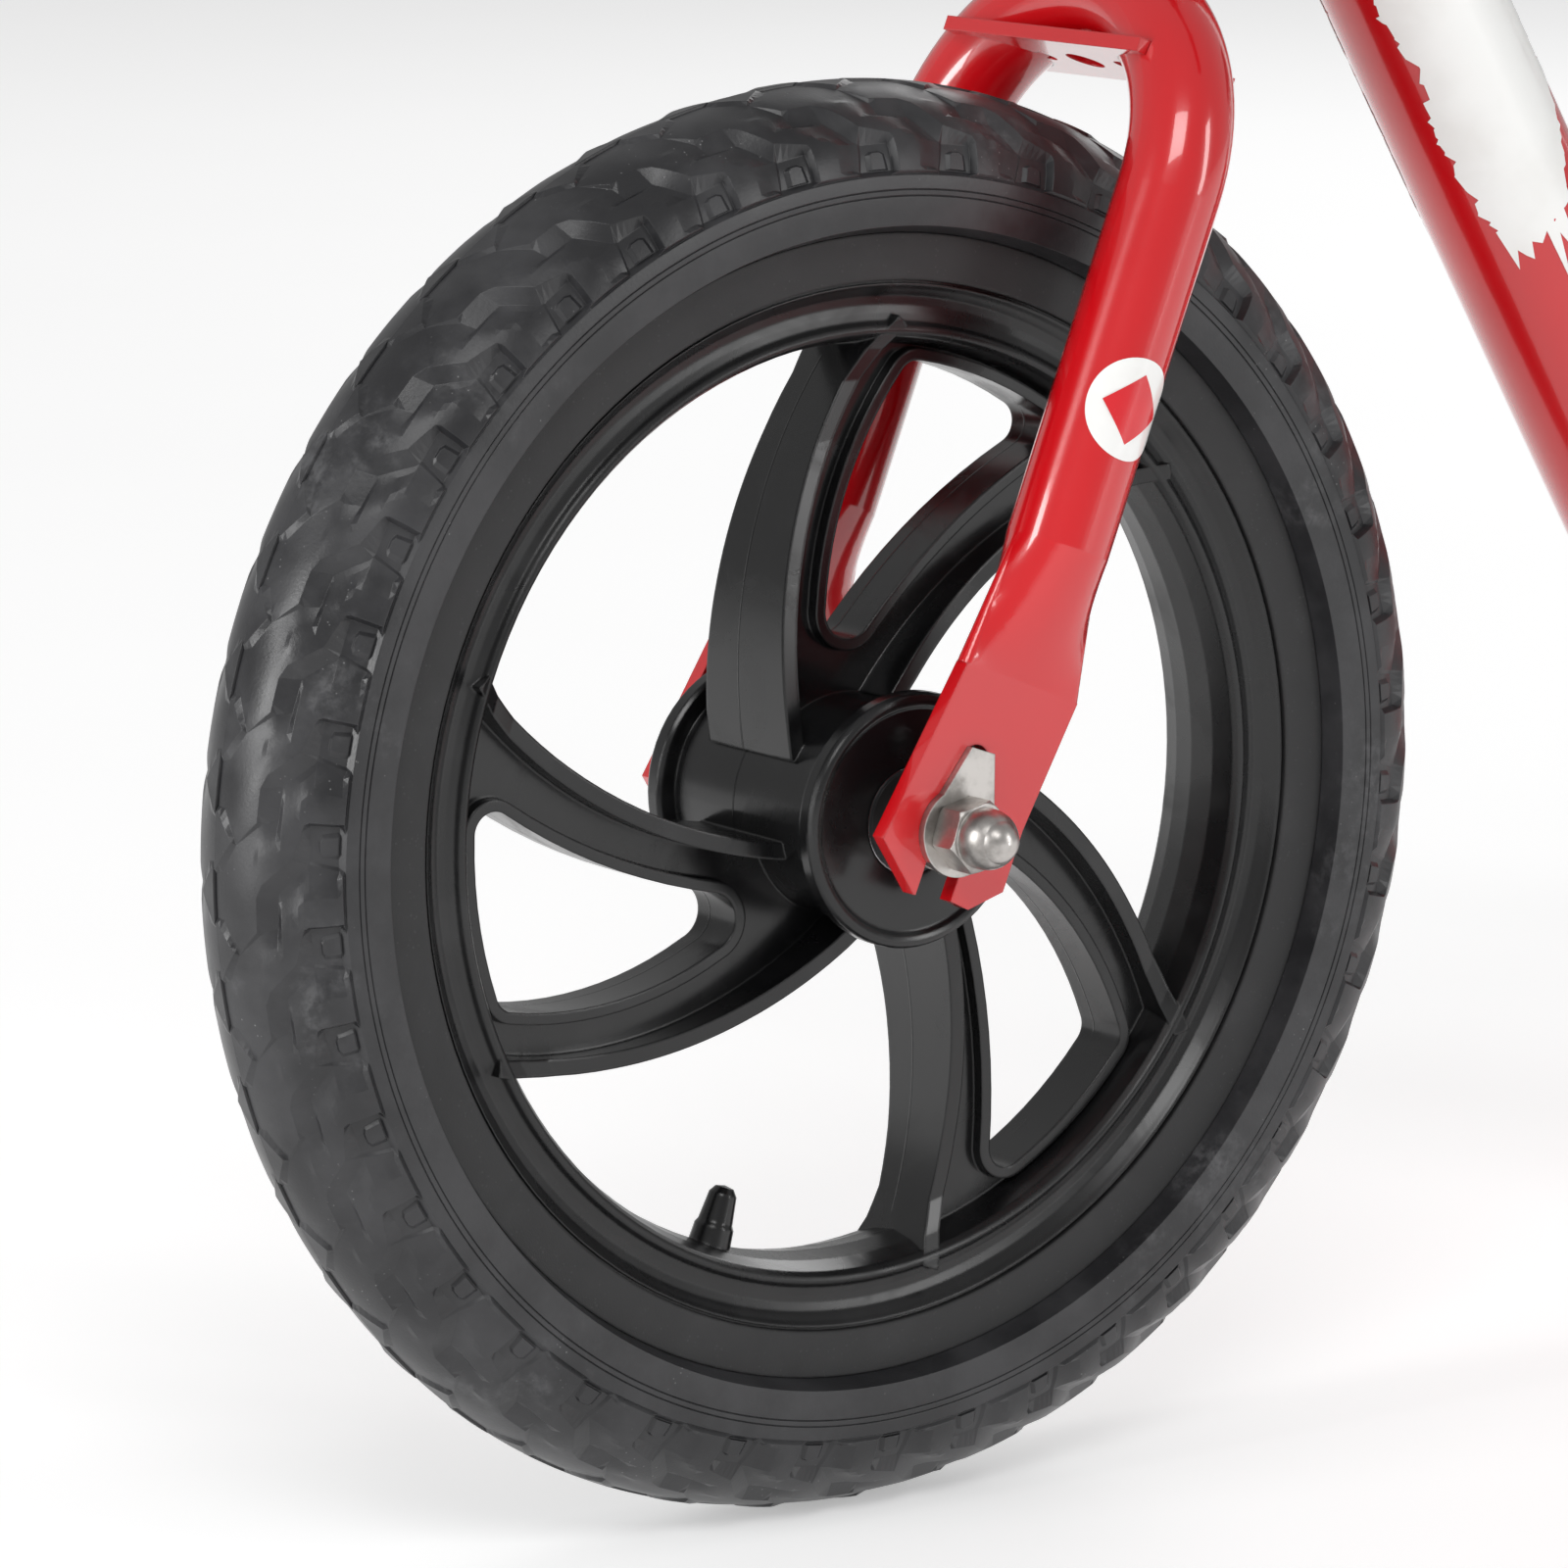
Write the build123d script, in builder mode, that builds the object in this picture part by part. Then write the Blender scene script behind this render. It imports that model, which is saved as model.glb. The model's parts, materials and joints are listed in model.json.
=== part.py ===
"""Balance bike with twelve-inch foam tyres, a bent-tube steel frame and a quill stem.

Millimetres.  +X points forwards, +Y to the rider's left, +Z up.  The origin is on the
ground, midway between the two wheels.
"""

import os
from math import asin, cos, pi, radians, sin, sqrt, tan

from build123d import *

os.makedirs("parts", exist_ok=True)

# ---- overall sizes
WHEELBASE = 560.0
TYRE_RADIUS = 145.0
TYRE_HALF_WIDTH = 20.6
HEAD_ANGLE = 68.3
WHEEL_OFFSET = 5.0

# ---- clearances
BOND_GAP = 0.1
WELD_GAP = 0.05
RUNNING_GAP = 0.05
LOOSE_GAP = 0.3

# ---- wheel casting
RIM_SEAT_RADIUS = 108.5
RIM_LIP_RADIUS = 115.6
RIM_HALF_WIDTH = 14.6
RIM_LIP_THICKNESS = 2.1
RIM_BAND_RADIUS = 106.2
RIM_INNER_RADIUS = 92.5
RIM_BEAD_RADIUS = 96.2
RIM_BEAD_HEIGHT = 12.4
RIM_CHANNEL_RADIUS = 101.0
RIM_CHANNEL_HEIGHT = 10.2
HUB_HALF_WIDTH = 29.0
HUB_FLANGE_RADIUS = 25.8
HUB_FLANGE_THICKNESS = 5.0
HUB_BARREL_RADIUS = 22.5
HUB_CORE_RADIUS = 8.0
HUB_DISH_DEPTH = 1.2
SPOKE_PAIRS = 3
SPOKE_WEB_HALF = 4.0
SPOKE_RIB_THICKNESS = 3.4
WINDOW_BEAD_WIDTH = 2.4
WINDOW_BEAD_HALF = 6.6
WINDOW_CORNER = 4.5
STUB_ANGLE = 251.0
STUB_ROOT_RADIUS = 4.6
STUB_TIP_RADIUS = 2.9
STUB_LENGTH = 12.0

# ---- axle, ball bearings and nuts
AXLE_RADIUS = 4.0
BEARING_RADIUS = 11.0
BEARING_WIDTH = 7.0
BEARING_INNER_RING = 6.1
BEARING_OUTER_RING = 9.0
BALL_RADIUS = 1.95
BALL_COUNT = 7
SEAL_THICKNESS = 0.8
DROPOUT_HALF_SPACING = 38.2
DROPOUT_THICKNESS = 3.6
TAB_WASHER_THICKNESS = 1.8
TAB_WASHER_RADIUS = 9.0
NUT_ACROSS_FLATS = 13.0
NUT_HEX_HEIGHT = 7.0
NUT_HEIGHT = 16.0
NUT_DOME_RADIUS = 6.1
NUT_TIP_RADIUS = 4.3
AXLE_SLOT_HALF = AXLE_RADIUS + 0.4
KEYHOLE_RADIUS = 3.2

# ---- fork and steering column
BLADE_RADIUS = 10.5
BLADE_WALL = 1.6
BLADE_HALF_SPACING = 39.0
ARCH_START = TYRE_RADIUS - 11.0
FLATTEN_TOP = 60.0
FLATTEN_BOTTOM = 32.0
FLATTEN_WIDTH = 31.0
CROWN_PLATE_THICKNESS = 3.0
CROWN_PLATE_WIDTH = 26.0
STEERER_RADIUS = 12.7
STEERER_BORE = 11.25
STEERER_BOSS_RADIUS = 16.0
CROWN_RACE_HEIGHT = ARCH_START + 52.0
HEAD_TUBE_BOTTOM = CROWN_RACE_HEIGHT + 11.0
HEAD_TUBE_LENGTH = 104.0
HEAD_TUBE_RADIUS = 17.0
HEAD_TUBE_BORE = 15.15
HEADSET_PITCH_RADIUS = 15.5
HEADSET_BALL_RADIUS = 2.0
HEADSET_BALL_COUNT = 18
LOCKNUT_ACROSS_FLATS = 32.0

# ---- stem and handlebar
QUILL_RADIUS = 11.2
QUILL_BOTTOM = HEAD_TUBE_BOTTOM + 43.0
STEM_BOLT_RADIUS = 4.0
BAR_RADIUS = 11.1
BAR_WALL = 1.6
STEM_CLAMP_HEIGHT = HEAD_TUBE_BOTTOM + 165.0
STEM_REACH = 40.0
STEM_CLAMP_RADIUS = 16.5
STEM_CLAMP_HALF_WIDTH = 19.0
FLANGE_DEPTH = 10.0
CLAMP_BOLT_RADIUS = 2.5
BAR_RISE = 78.0
BAR_HALF_WIDTH = 200.0
BAR_LOWER_BEND = 36.0
BAR_UPPER_BEND = 80.0
BAR_SWEEP = 26.0
BAR_BEND_RADIUS = 28.0
GRIP_LENGTH = 104.0
GRIP_RADIUS = 15.5
GRIP_FLANGE_RADIUS = 23.0

# ---- frame
MAIN_TUBE_RADIUS = 18.0
MAIN_TUBE_WALL = 1.6
MAIN_TUBE_ANGLE = 59.1
MAIN_TUBE_JOINT = HEAD_TUBE_BOTTOM + 61.0
MAIN_TUBE_LOW = TYRE_RADIUS - 27.0
MAIN_TUBE_BEND = 110.0
SEAT_TUBE_FOOT = TYRE_RADIUS - WHEELBASE / 2 + 73.0
MAIN_TUBE_REAR = SEAT_TUBE_FOOT - 34.0
SEAT_TUBE_ANGLE = 72.0
SEAT_TUBE_LENGTH = 150.0
SEAT_TUBE_RADIUS = 14.3
SEAT_POST_RADIUS = 12.7
STAY_RADIUS = 9.5
STAY_WALL = 1.5
UPPER_STAY_RADIUS = 7.0
UPPER_STAY_JOINT = 118.0
STAY_HALF_SPACING = 40.0

# ---- saddle and seat post
POST_INSERTION = 85.0
POST_HEAD = 202.0
POST_WALL = 1.6
POST_HEAD_RADIUS = 9.0
POST_HEAD_HALF_WIDTH = 11.0
COLLAR_RADIUS = 19.0
COLLAR_HEIGHT = 15.0
CLAMP_PLATE_THICKNESS = 5.0
RAIL_RADIUS = 3.5
RAIL_HALF_SPACING = 21.0
RAIL_HEIGHT = 14.5
SHELL_HEIGHT = 32.0
SHELL_THICKNESS = 4.0
COVER_THICKNESS = 30.0
SADDLE_REAR_RADIUS = 60.0
SADDLE_NOSE_RADIUS = 22.0
SADDLE_REAR_CENTRE = -40.0
SADDLE_NOSE_CENTRE = 95.0


# ---- reference planes and small helpers

lean = radians(90 - HEAD_ANGLE)
steering_up = Vector(-sin(lean), 0, cos(lean))
steering_forward = Vector(cos(lean), 0, sin(lean))
front_centre = Vector(WHEELBASE / 2, 0, TYRE_RADIUS)
rear_centre = Vector(-WHEELBASE / 2, 0, TYRE_RADIUS)
steering_root = front_centre - steering_forward * WHEEL_OFFSET

seat_lean = radians(90 - SEAT_TUBE_ANGLE)
seat_up = Vector(-sin(seat_lean), 0, cos(seat_lean))
seat_forward = Vector(cos(seat_lean), 0, sin(seat_lean))
seat_foot = Vector(SEAT_TUBE_FOOT, 0, MAIN_TUBE_LOW)


def steering_plane(height, forward=0.0):
    """Plane across the steering axis, local x forwards and local y to the left."""
    origin = steering_root + steering_up * height + steering_forward * forward
    return Plane(origin=origin, x_dir=steering_forward, z_dir=steering_up)


def seat_plane(height):
    """Plane across the seat tube's axis, local x forwards and local y to the left."""
    return Plane(origin=seat_foot + seat_up * height, x_dir=seat_forward, z_dir=seat_up)


def wheel_plane(centre):
    """Plane across a wheel's axle, whose z direction points to the rider's left."""
    return Plane(origin=centre, x_dir=(1, 0, 0), z_dir=(0, 1, 0))


def side_plane(centre):
    """Side view through a point: local x forwards, local y up."""
    return Plane(origin=centre, x_dir=(1, 0, 0), z_dir=(0, -1, 0))


def section_plane(plane):
    """Plane through the axis of another plane: local x radial, local y along the axis."""
    return Plane(origin=plane.origin, x_dir=plane.x_dir, z_dir=plane.x_dir.cross(plane.z_dir))


def outline(plane, points):
    """Flat face inside a closed polygon."""
    with BuildSketch(plane) as shape:
        with BuildLine():
            Polyline(*points, close=True)
        make_face()
    return shape.sketch


def turned(plane, points, mode=Mode.ADD):
    """Body of revolution about a plane's z axis, from a polygon of radius and height."""
    revolve(outline(section_plane(plane), points), axis=Axis(plane.origin, plane.z_dir), mode=mode)


def bar(plane, radius, start, end, mode=Mode.ADD):
    """Round bar along a plane's z axis, between two heights."""
    turned(plane, [(0, start), (radius, start), (radius, end), (0, end)], mode)


def tube_along(path, radius, mode=Mode.ADD):
    """Round bar swept along a path."""
    with BuildSketch(path ^ 0) as section:
        Circle(radius)
    sweep(section.sketch, path=path, mode=mode)


def finish(piece, node):
    """Name a piece and write its file."""
    piece.part.label = node
    export_step(piece.part, f"parts/{node}.step")


# ---- wheels

def polar(radius, angle):
    """Point of the wheel's side view, the angle measured from straight back, upwards."""
    return (-radius * cos(radians(angle)), radius * sin(radians(angle)))


def tyre_solid(centre):
    """Foam tyre: a round section with a foot that sits between the rim's lips."""
    foot_radius = RIM_SEAT_RADIUS + BOND_GAP
    foot_half = RIM_HALF_WIDTH - RIM_LIP_THICKNESS - BOND_GAP
    lip_radius = RIM_LIP_RADIUS + BOND_GAP
    widest_radius = TYRE_RADIUS - TYRE_HALF_WIDTH
    wall_drop = radians(20)
    wall_point = (
        widest_radius - TYRE_HALF_WIDTH * sin(wall_drop),
        TYRE_HALF_WIDTH * cos(wall_drop),
    )
    with BuildPart() as tyre:
        with BuildSketch(section_plane(wheel_plane(centre))):
            with BuildLine():
                foot = Polyline(
                    (wall_point[0], -wall_point[1]),
                    (lip_radius, -RIM_HALF_WIDTH),
                    (lip_radius, -foot_half),
                    (foot_radius, -foot_half),
                    (foot_radius, foot_half),
                    (lip_radius, foot_half),
                    (lip_radius, RIM_HALF_WIDTH),
                    wall_point,
                )
                ThreePointArc(foot @ 1, (TYRE_RADIUS, 0), foot @ 0)
            make_face()
        revolve(axis=Axis(centre, (0, 1, 0)))
    return tyre


def rim_half_profile():
    """Rim section on one side, from the inner surface's ridge round to the tyre's seat."""
    lip_inner = RIM_HALF_WIDTH - RIM_LIP_THICKNESS
    groove = 0.7
    return [
        (RIM_INNER_RADIUS, 0),
        (RIM_INNER_RADIUS + 0.8, 6.0),
        (RIM_BEAD_RADIUS - 1.6, RIM_BEAD_HEIGHT - 1.6),
        (RIM_BEAD_RADIUS - 0.7, RIM_BEAD_HEIGHT - 0.3),
        (RIM_BEAD_RADIUS, RIM_BEAD_HEIGHT),
        (RIM_BEAD_RADIUS + 0.8, RIM_BEAD_HEIGHT - 0.4),
        (RIM_BEAD_RADIUS + 1.6, RIM_BEAD_HEIGHT - 1.5),
        (RIM_CHANNEL_RADIUS - 1.6, RIM_CHANNEL_HEIGHT + 0.2),
        (RIM_CHANNEL_RADIUS, RIM_CHANNEL_HEIGHT),
        (RIM_CHANNEL_RADIUS + 1.8, RIM_CHANNEL_HEIGHT + 0.6),
        (RIM_BAND_RADIUS - 1.8, RIM_CHANNEL_HEIGHT + 2.2),
        (RIM_BAND_RADIUS - groove, RIM_HALF_WIDTH - 0.9),
        (RIM_BAND_RADIUS - groove, RIM_HALF_WIDTH - 1.8),
        (RIM_BAND_RADIUS, RIM_HALF_WIDTH - 1.8),
        (RIM_BAND_RADIUS, RIM_HALF_WIDTH - 0.5),
        (RIM_BAND_RADIUS + 0.4, RIM_HALF_WIDTH - 0.2),
        (RIM_LIP_RADIUS, RIM_HALF_WIDTH),
        (RIM_LIP_RADIUS, lip_inner),
        (RIM_SEAT_RADIUS, lip_inner),
        (RIM_SEAT_RADIUS, 0),
    ]


def hub_half_profile():
    """Hub section on one side, from the core out to the flange's face and the barrel."""
    face = HUB_HALF_WIDTH
    dish = face - HUB_DISH_DEPTH
    pocket_floor = dish - 0.2 - BEARING_WIDTH
    flange_back = face - HUB_FLANGE_THICKNESS
    return [
        (HUB_CORE_RADIUS, 0),
        (HUB_CORE_RADIUS, pocket_floor),
        (BEARING_RADIUS + WELD_GAP, pocket_floor),
        (BEARING_RADIUS + WELD_GAP, dish),
        (HUB_FLANGE_RADIUS - 3.4, dish),
        (HUB_FLANGE_RADIUS - 2.6, face - 0.3),
        (HUB_FLANGE_RADIUS - 1.6, face),
        (HUB_FLANGE_RADIUS - 0.6, face - 0.4),
        (HUB_FLANGE_RADIUS, face - 1.4),
        (HUB_FLANGE_RADIUS, flange_back + 0.8),
        (HUB_FLANGE_RADIUS - 0.8, flange_back),
        (HUB_BARREL_RADIUS - 0.8, flange_back),
        (HUB_BARREL_RADIUS - 0.8, flange_back - 2.0),
        (HUB_BARREL_RADIUS, flange_back - 2.6),
        (HUB_BARREL_RADIUS, 0),
    ]


def spoke_rib_lines(turn):
    """Mid lines of a pair's two outer ribs, each one arc from the hub to the rim."""
    leading = [polar(22, 196 + turn), polar(60, 173.6 + turn), polar(98, 159.2 + turn)]
    trailing = [polar(22, 266 + turn), polar(52, 229.6 + turn), polar(98, 205.2 + turn)]
    return leading, trailing


def spoke_web_face(centre, turn):
    """Flat web between a pair's two outer ribs."""
    leading, trailing = spoke_rib_lines(turn)
    with BuildSketch(side_plane(centre)) as web:
        with BuildLine():
            ThreePointArc(*leading)
            ThreePointArc(leading[2], polar(98, 182 + turn), trailing[2])
            ThreePointArc(trailing[2], trailing[1], trailing[0])
            ThreePointArc(trailing[0], polar(22, 231 + turn), leading[0])
        make_face()
    return web.sketch


def window_face(centre, turn, growth):
    """Three-sided window in a pair's web, grown outwards by a margin."""
    with BuildSketch(side_plane(centre)) as window:
        with BuildLine():
            upper = [polar(90, 172.6 + turn), polar(65, 183 + turn), polar(36, 203.4 + turn)]
            lower = [polar(41, 218.6 + turn), polar(65, 210.6 + turn), polar(90, 200.8 + turn)]
            ThreePointArc(*upper)
            ThreePointArc(upper[2], polar(33.8, 212.5 + turn), lower[0])
            ThreePointArc(*lower)
            ThreePointArc(lower[2], polar(90, 187 + turn), upper[0])
        make_face()
        fillet(window.vertices(), WINDOW_CORNER)
        if growth > 0:
            offset(amount=growth)
    return window.sketch


def rib_solid(centre, line):
    """One outer rib: a strip of even thickness, wide across the wheel at both ends."""
    with BuildPart() as rib:
        with BuildSketch(side_plane(centre)):
            with BuildLine():
                ThreePointArc(*line)
            trace(line_width=SPOKE_RIB_THICKNESS)
        extrude(amount=2 * RIM_HALF_WIDTH, both=True)
        half = [(14, 14.6), (28, 14.0), (50, 11.6), (75, 9.2), (86, 8.6), (92, 10.0), (98, 13.2)]
        envelope = half + [(100.5, 13.2), (100.5, 0), (14, 0)]
        mirrored = [(r, -y) for r, y in half] + [(100.5, -13.2), (100.5, 0), (14, 0)]
        with BuildPart(mode=Mode.PRIVATE) as limit:
            plane = wheel_plane(centre)
            revolve(outline(section_plane(plane), envelope), axis=Axis(centre, (0, 1, 0)))
            revolve(outline(section_plane(plane), mirrored), axis=Axis(centre, (0, 1, 0)))
        add(limit.part, mode=Mode.INTERSECT)
    return rib.part


def casting_solid(centre):
    """One-piece wheel: rim, three pairs of swept spokes, hub barrel and a dummy valve."""
    plane = wheel_plane(centre)
    rim = rim_half_profile()
    hub = hub_half_profile()
    with BuildPart() as casting:
        for profile in (rim, hub):
            turned(plane, profile)
            turned(plane, [(r, -y) for r, y in profile])
        for pair in range(SPOKE_PAIRS):
            turn = 360 / SPOKE_PAIRS * pair
            extrude(spoke_web_face(centre, turn), amount=SPOKE_WEB_HALF, both=True)
            extrude(window_face(centre, turn, WINDOW_BEAD_WIDTH), amount=WINDOW_BEAD_HALF, both=True)
            extrude(
                window_face(centre, turn, 0),
                amount=RIM_HALF_WIDTH,
                both=True,
                mode=Mode.SUBTRACT,
            )
            for line in spoke_rib_lines(turn):
                add(rib_solid(centre, line))
        along, up = polar(RIM_INNER_RADIUS + 3, STUB_ANGLE)
        inward = Vector(-along, 0, -up).normalized()
        stub = Plane(origin=centre + Vector(along, 0, up), z_dir=inward)
        turned(stub, [
            (0, 0),
            (STUB_ROOT_RADIUS, 0),
            (STUB_ROOT_RADIUS - 0.5, 6.5),
            (STUB_TIP_RADIUS + 0.7, 7.4),
            (STUB_TIP_RADIUS, STUB_LENGTH + 1.2),
            (STUB_TIP_RADIUS - 1.0, STUB_LENGTH + 2.6),
            (0, STUB_LENGTH + 3.0),
        ])
        bar(plane, HUB_CORE_RADIUS, -HUB_HALF_WIDTH, HUB_HALF_WIDTH, Mode.SUBTRACT)
        pocket = HUB_HALF_WIDTH - HUB_DISH_DEPTH - 0.2 - BEARING_WIDTH
        for start, end in ((pocket, HUB_HALF_WIDTH), (-HUB_HALF_WIDTH, -pocket)):
            bar(plane, BEARING_RADIUS + WELD_GAP, start, end, Mode.SUBTRACT)
    return casting


def slot_face(plane, direction, length):
    """Open-ended slot for an axle, running from the axle's centre in one direction."""
    along = Vector(*direction, 0).normalized()
    across = Vector(-along.Y, along.X, 0) * AXLE_SLOT_HALF
    far = along * length
    corners = [across, across + far, far - across, Vector(0, 0, 0) - across]
    with BuildSketch(plane) as slot:
        with BuildLine():
            Polyline(*[(c.X, c.Y) for c in corners], close=True)
        make_face()
        Circle(AXLE_SLOT_HALF)
    return slot.sketch


def mirrored_pair(solid_maker):
    """Part with the same piece on the left and on the right of the bike."""
    with BuildPart() as pair:
        add(solid_maker())
        mirror(about=Plane.XZ)
    return pair


def build_wheel(end, centre, keyhole):
    """Every piece of one wheel and its axle, from the tyre to the cap nuts."""
    plane = wheel_plane(centre)
    dish = HUB_HALF_WIDTH - HUB_DISH_DEPTH
    outer = dish - 0.2
    inner = outer - BEARING_WIDTH
    middle = (outer + inner) / 2
    pitch = (BEARING_INNER_RING + BEARING_OUTER_RING) / 2
    groove = BALL_RADIUS + RUNNING_GAP
    washer_face = DROPOUT_HALF_SPACING + DROPOUT_THICKNESS
    nut_face = washer_face + TAB_WASHER_THICKNESS
    axle_end = nut_face + NUT_HEIGHT - 5.0

    finish(tyre_solid(centre), f"{end}_tyre")
    finish(casting_solid(centre), f"{end}_wheel_casting")

    def cut_groove():
        with BuildPart(mode=Mode.PRIVATE) as ring:
            with BuildSketch(section_plane(plane)):
                with Locations((pitch, middle)):
                    Circle(groove)
            revolve(axis=Axis(centre, (0, 1, 0)))
        return ring.part

    def outer_ring():
        with BuildPart(mode=Mode.PRIVATE) as ring:
            turned(plane, [
                (BEARING_OUTER_RING, inner),
                (BEARING_RADIUS, inner),
                (BEARING_RADIUS, outer),
                (BEARING_OUTER_RING, outer),
            ])
            add(cut_groove(), mode=Mode.SUBTRACT)
        return ring.part

    def inner_ring():
        with BuildPart(mode=Mode.PRIVATE) as ring:
            turned(plane, [
                (AXLE_RADIUS + RUNNING_GAP, inner),
                (BEARING_INNER_RING, inner),
                (BEARING_INNER_RING, outer),
                (AXLE_RADIUS + RUNNING_GAP, outer),
            ])
            add(cut_groove(), mode=Mode.SUBTRACT)
        return ring.part

    def balls():
        with BuildPart(mode=Mode.PRIVATE) as ring:
            row = Plane(origin=centre + Vector(0, middle, 0), x_dir=(1, 0, 0), z_dir=(0, 1, 0))
            with Locations(row):
                with PolarLocations(pitch, BALL_COUNT):
                    Sphere(BALL_RADIUS)
        return ring.part

    def seal():
        with BuildPart(mode=Mode.PRIVATE) as ring:
            turned(plane, [
                (BEARING_INNER_RING + LOOSE_GAP + 0.5, outer),
                (BEARING_RADIUS - 0.4, outer),
                (BEARING_RADIUS - 0.4, outer + SEAL_THICKNESS),
                (BEARING_INNER_RING + LOOSE_GAP + 0.5, outer + SEAL_THICKNESS),
            ])
        return ring.part

    def spacer():
        with BuildPart(mode=Mode.PRIVATE) as ring:
            turned(plane, [
                (AXLE_RADIUS + RUNNING_GAP, outer),
                (BEARING_INNER_RING, outer),
                (BEARING_INNER_RING, outer + 3.5),
                (BEARING_INNER_RING + 2.4, outer + 4.5),
                (BEARING_INNER_RING + 2.4, DROPOUT_HALF_SPACING),
                (AXLE_RADIUS + RUNNING_GAP, DROPOUT_HALF_SPACING),
            ])
        return ring.part

    def tab_washer():
        face = Plane(origin=centre + Vector(0, washer_face, 0), x_dir=(-1, 0, 0), z_dir=(0, 1, 0))
        reach = Vector(-keyhole[0], keyhole[1], 0)
        side = Vector(-reach.Y, reach.X, 0).normalized()
        tab_half = KEYHOLE_RADIUS - LOOSE_GAP
        shoulder = sqrt(TAB_WASHER_RADIUS**2 - 4) * 0.98
        tip = reach + reach.normalized() * (KEYHOLE_RADIUS - LOOSE_GAP - 0.6)
        hull = [side * shoulder, tip + side * tab_half, tip - side * tab_half, side * -shoulder]
        hook_plane = Plane(
            origin=centre + Vector(0, washer_face, 0),
            x_dir=(-1, 0, 0),
            z_dir=(0, 1, 0),
        )
        with BuildPart(mode=Mode.PRIVATE) as washer:
            with BuildSketch(face):
                Circle(TAB_WASHER_RADIUS)
                with BuildLine():
                    Polyline(*[(p.X, p.Y) for p in hull], close=True)
                make_face()
                Circle(AXLE_RADIUS + RUNNING_GAP, mode=Mode.SUBTRACT)
            extrude(amount=TAB_WASHER_THICKNESS)
            with BuildSketch(hook_plane):
                with Locations((reach.X, reach.Y)):
                    Rectangle(2 * tab_half * 0.75, TAB_WASHER_THICKNESS)
            extrude(amount=-(DROPOUT_THICKNESS + 0.6))
        return washer.part

    def cap_nut():
        base = Plane(origin=centre + Vector(0, nut_face, 0), x_dir=(1, 0, 0), z_dir=(0, 1, 0))
        corner = NUT_ACROSS_FLATS / sqrt(3)
        with BuildPart(mode=Mode.PRIVATE) as nut:
            with BuildSketch(base):
                RegularPolygon(corner, 6, rotation=12)
            extrude(amount=NUT_HEX_HEIGHT)
            with BuildPart(mode=Mode.PRIVATE) as envelope:
                turned(base, [
                    (0, 0),
                    (corner - 0.6, 0),
                    (corner + 0.2, 0.8),
                    (corner + 0.2, NUT_HEX_HEIGHT - 0.9),
                    (corner - 0.7, NUT_HEX_HEIGHT),
                    (0, NUT_HEX_HEIGHT),
                ])
            add(envelope.part, mode=Mode.INTERSECT)
            tip_drop = 2.8
            cap_radius = (NUT_TIP_RADIUS**2 + tip_drop**2) / (2 * tip_drop)
            cap_centre = NUT_HEIGHT - cap_radius
            cap_angle = (asin((cap_radius - tip_drop) / cap_radius) + pi / 2) / 2
            with BuildSketch(section_plane(base)):
                with BuildLine():
                    side = Polyline(
                        (0, NUT_HEX_HEIGHT - 0.5),
                        (NUT_DOME_RADIUS, NUT_HEX_HEIGHT - 0.5),
                        (NUT_DOME_RADIUS, NUT_HEX_HEIGHT + 1.2),
                    )
                    shoulder = ThreePointArc(
                        side @ 1,
                        (NUT_DOME_RADIUS - 0.45, NUT_HEX_HEIGHT + 4.0),
                        (NUT_TIP_RADIUS, NUT_HEIGHT - tip_drop),
                    )
                    crown = ThreePointArc(
                        shoulder @ 1,
                        (cap_radius * cos(cap_angle), cap_centre + cap_radius * sin(cap_angle)),
                        (0, NUT_HEIGHT),
                    )
                    Line(crown @ 1, side @ 0)
                make_face()
            revolve(axis=Axis(base.origin, base.z_dir))
            bar(base, AXLE_RADIUS + RUNNING_GAP, -1, NUT_HEIGHT - 4.5, Mode.SUBTRACT)
        return nut.part

    finish(mirrored_pair(outer_ring), f"{end}_bearing_outer_rings")
    finish(mirrored_pair(inner_ring), f"{end}_bearing_inner_rings")
    finish(mirrored_pair(balls), f"{end}_bearing_balls")
    finish(mirrored_pair(seal), f"{end}_bearing_seals")
    finish(mirrored_pair(spacer), f"{end}_axle_spacers")
    finish(mirrored_pair(tab_washer), f"{end}_tab_washers")
    finish(mirrored_pair(cap_nut), f"{end}_cap_nuts")

    with BuildPart() as sleeve:
        turned(plane, [
            (AXLE_RADIUS + RUNNING_GAP, -inner),
            (BEARING_INNER_RING, -inner),
            (BEARING_INNER_RING, inner),
            (AXLE_RADIUS + RUNNING_GAP, inner),
        ])
    finish(sleeve, f"{end}_axle_sleeve")

    with BuildPart() as axle:
        bar(plane, AXLE_RADIUS, -axle_end, axle_end)
        chamfer(axle.edges().filter_by(GeomType.CIRCLE), 0.8)
    finish(axle, f"{end}_axle")


FRONT_KEYHOLE = (-4.8, 13.6)
REAR_KEYHOLE = (-2.0, 14.3)
build_wheel("front", front_centre, FRONT_KEYHOLE)
build_wheel("rear", rear_centre, REAR_KEYHOLE)


# ---- fork

def fork_path():
    """Mid line of the bent fork tube, up one blade, over the arch and down the other."""
    plane = Plane(origin=steering_root, x_dir=(0, 1, 0), z_dir=steering_forward)
    with BuildLine(plane) as path:
        left = Line((BLADE_HALF_SPACING, FLATTEN_TOP), (BLADE_HALF_SPACING, ARCH_START))
        arch = ThreePointArc(
            left @ 1,
            (0, ARCH_START + BLADE_HALF_SPACING),
            (-BLADE_HALF_SPACING, ARCH_START),
        )
        Line(arch @ 1, (-BLADE_HALF_SPACING, FLATTEN_TOP))
    return path.wires()[0]


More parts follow.
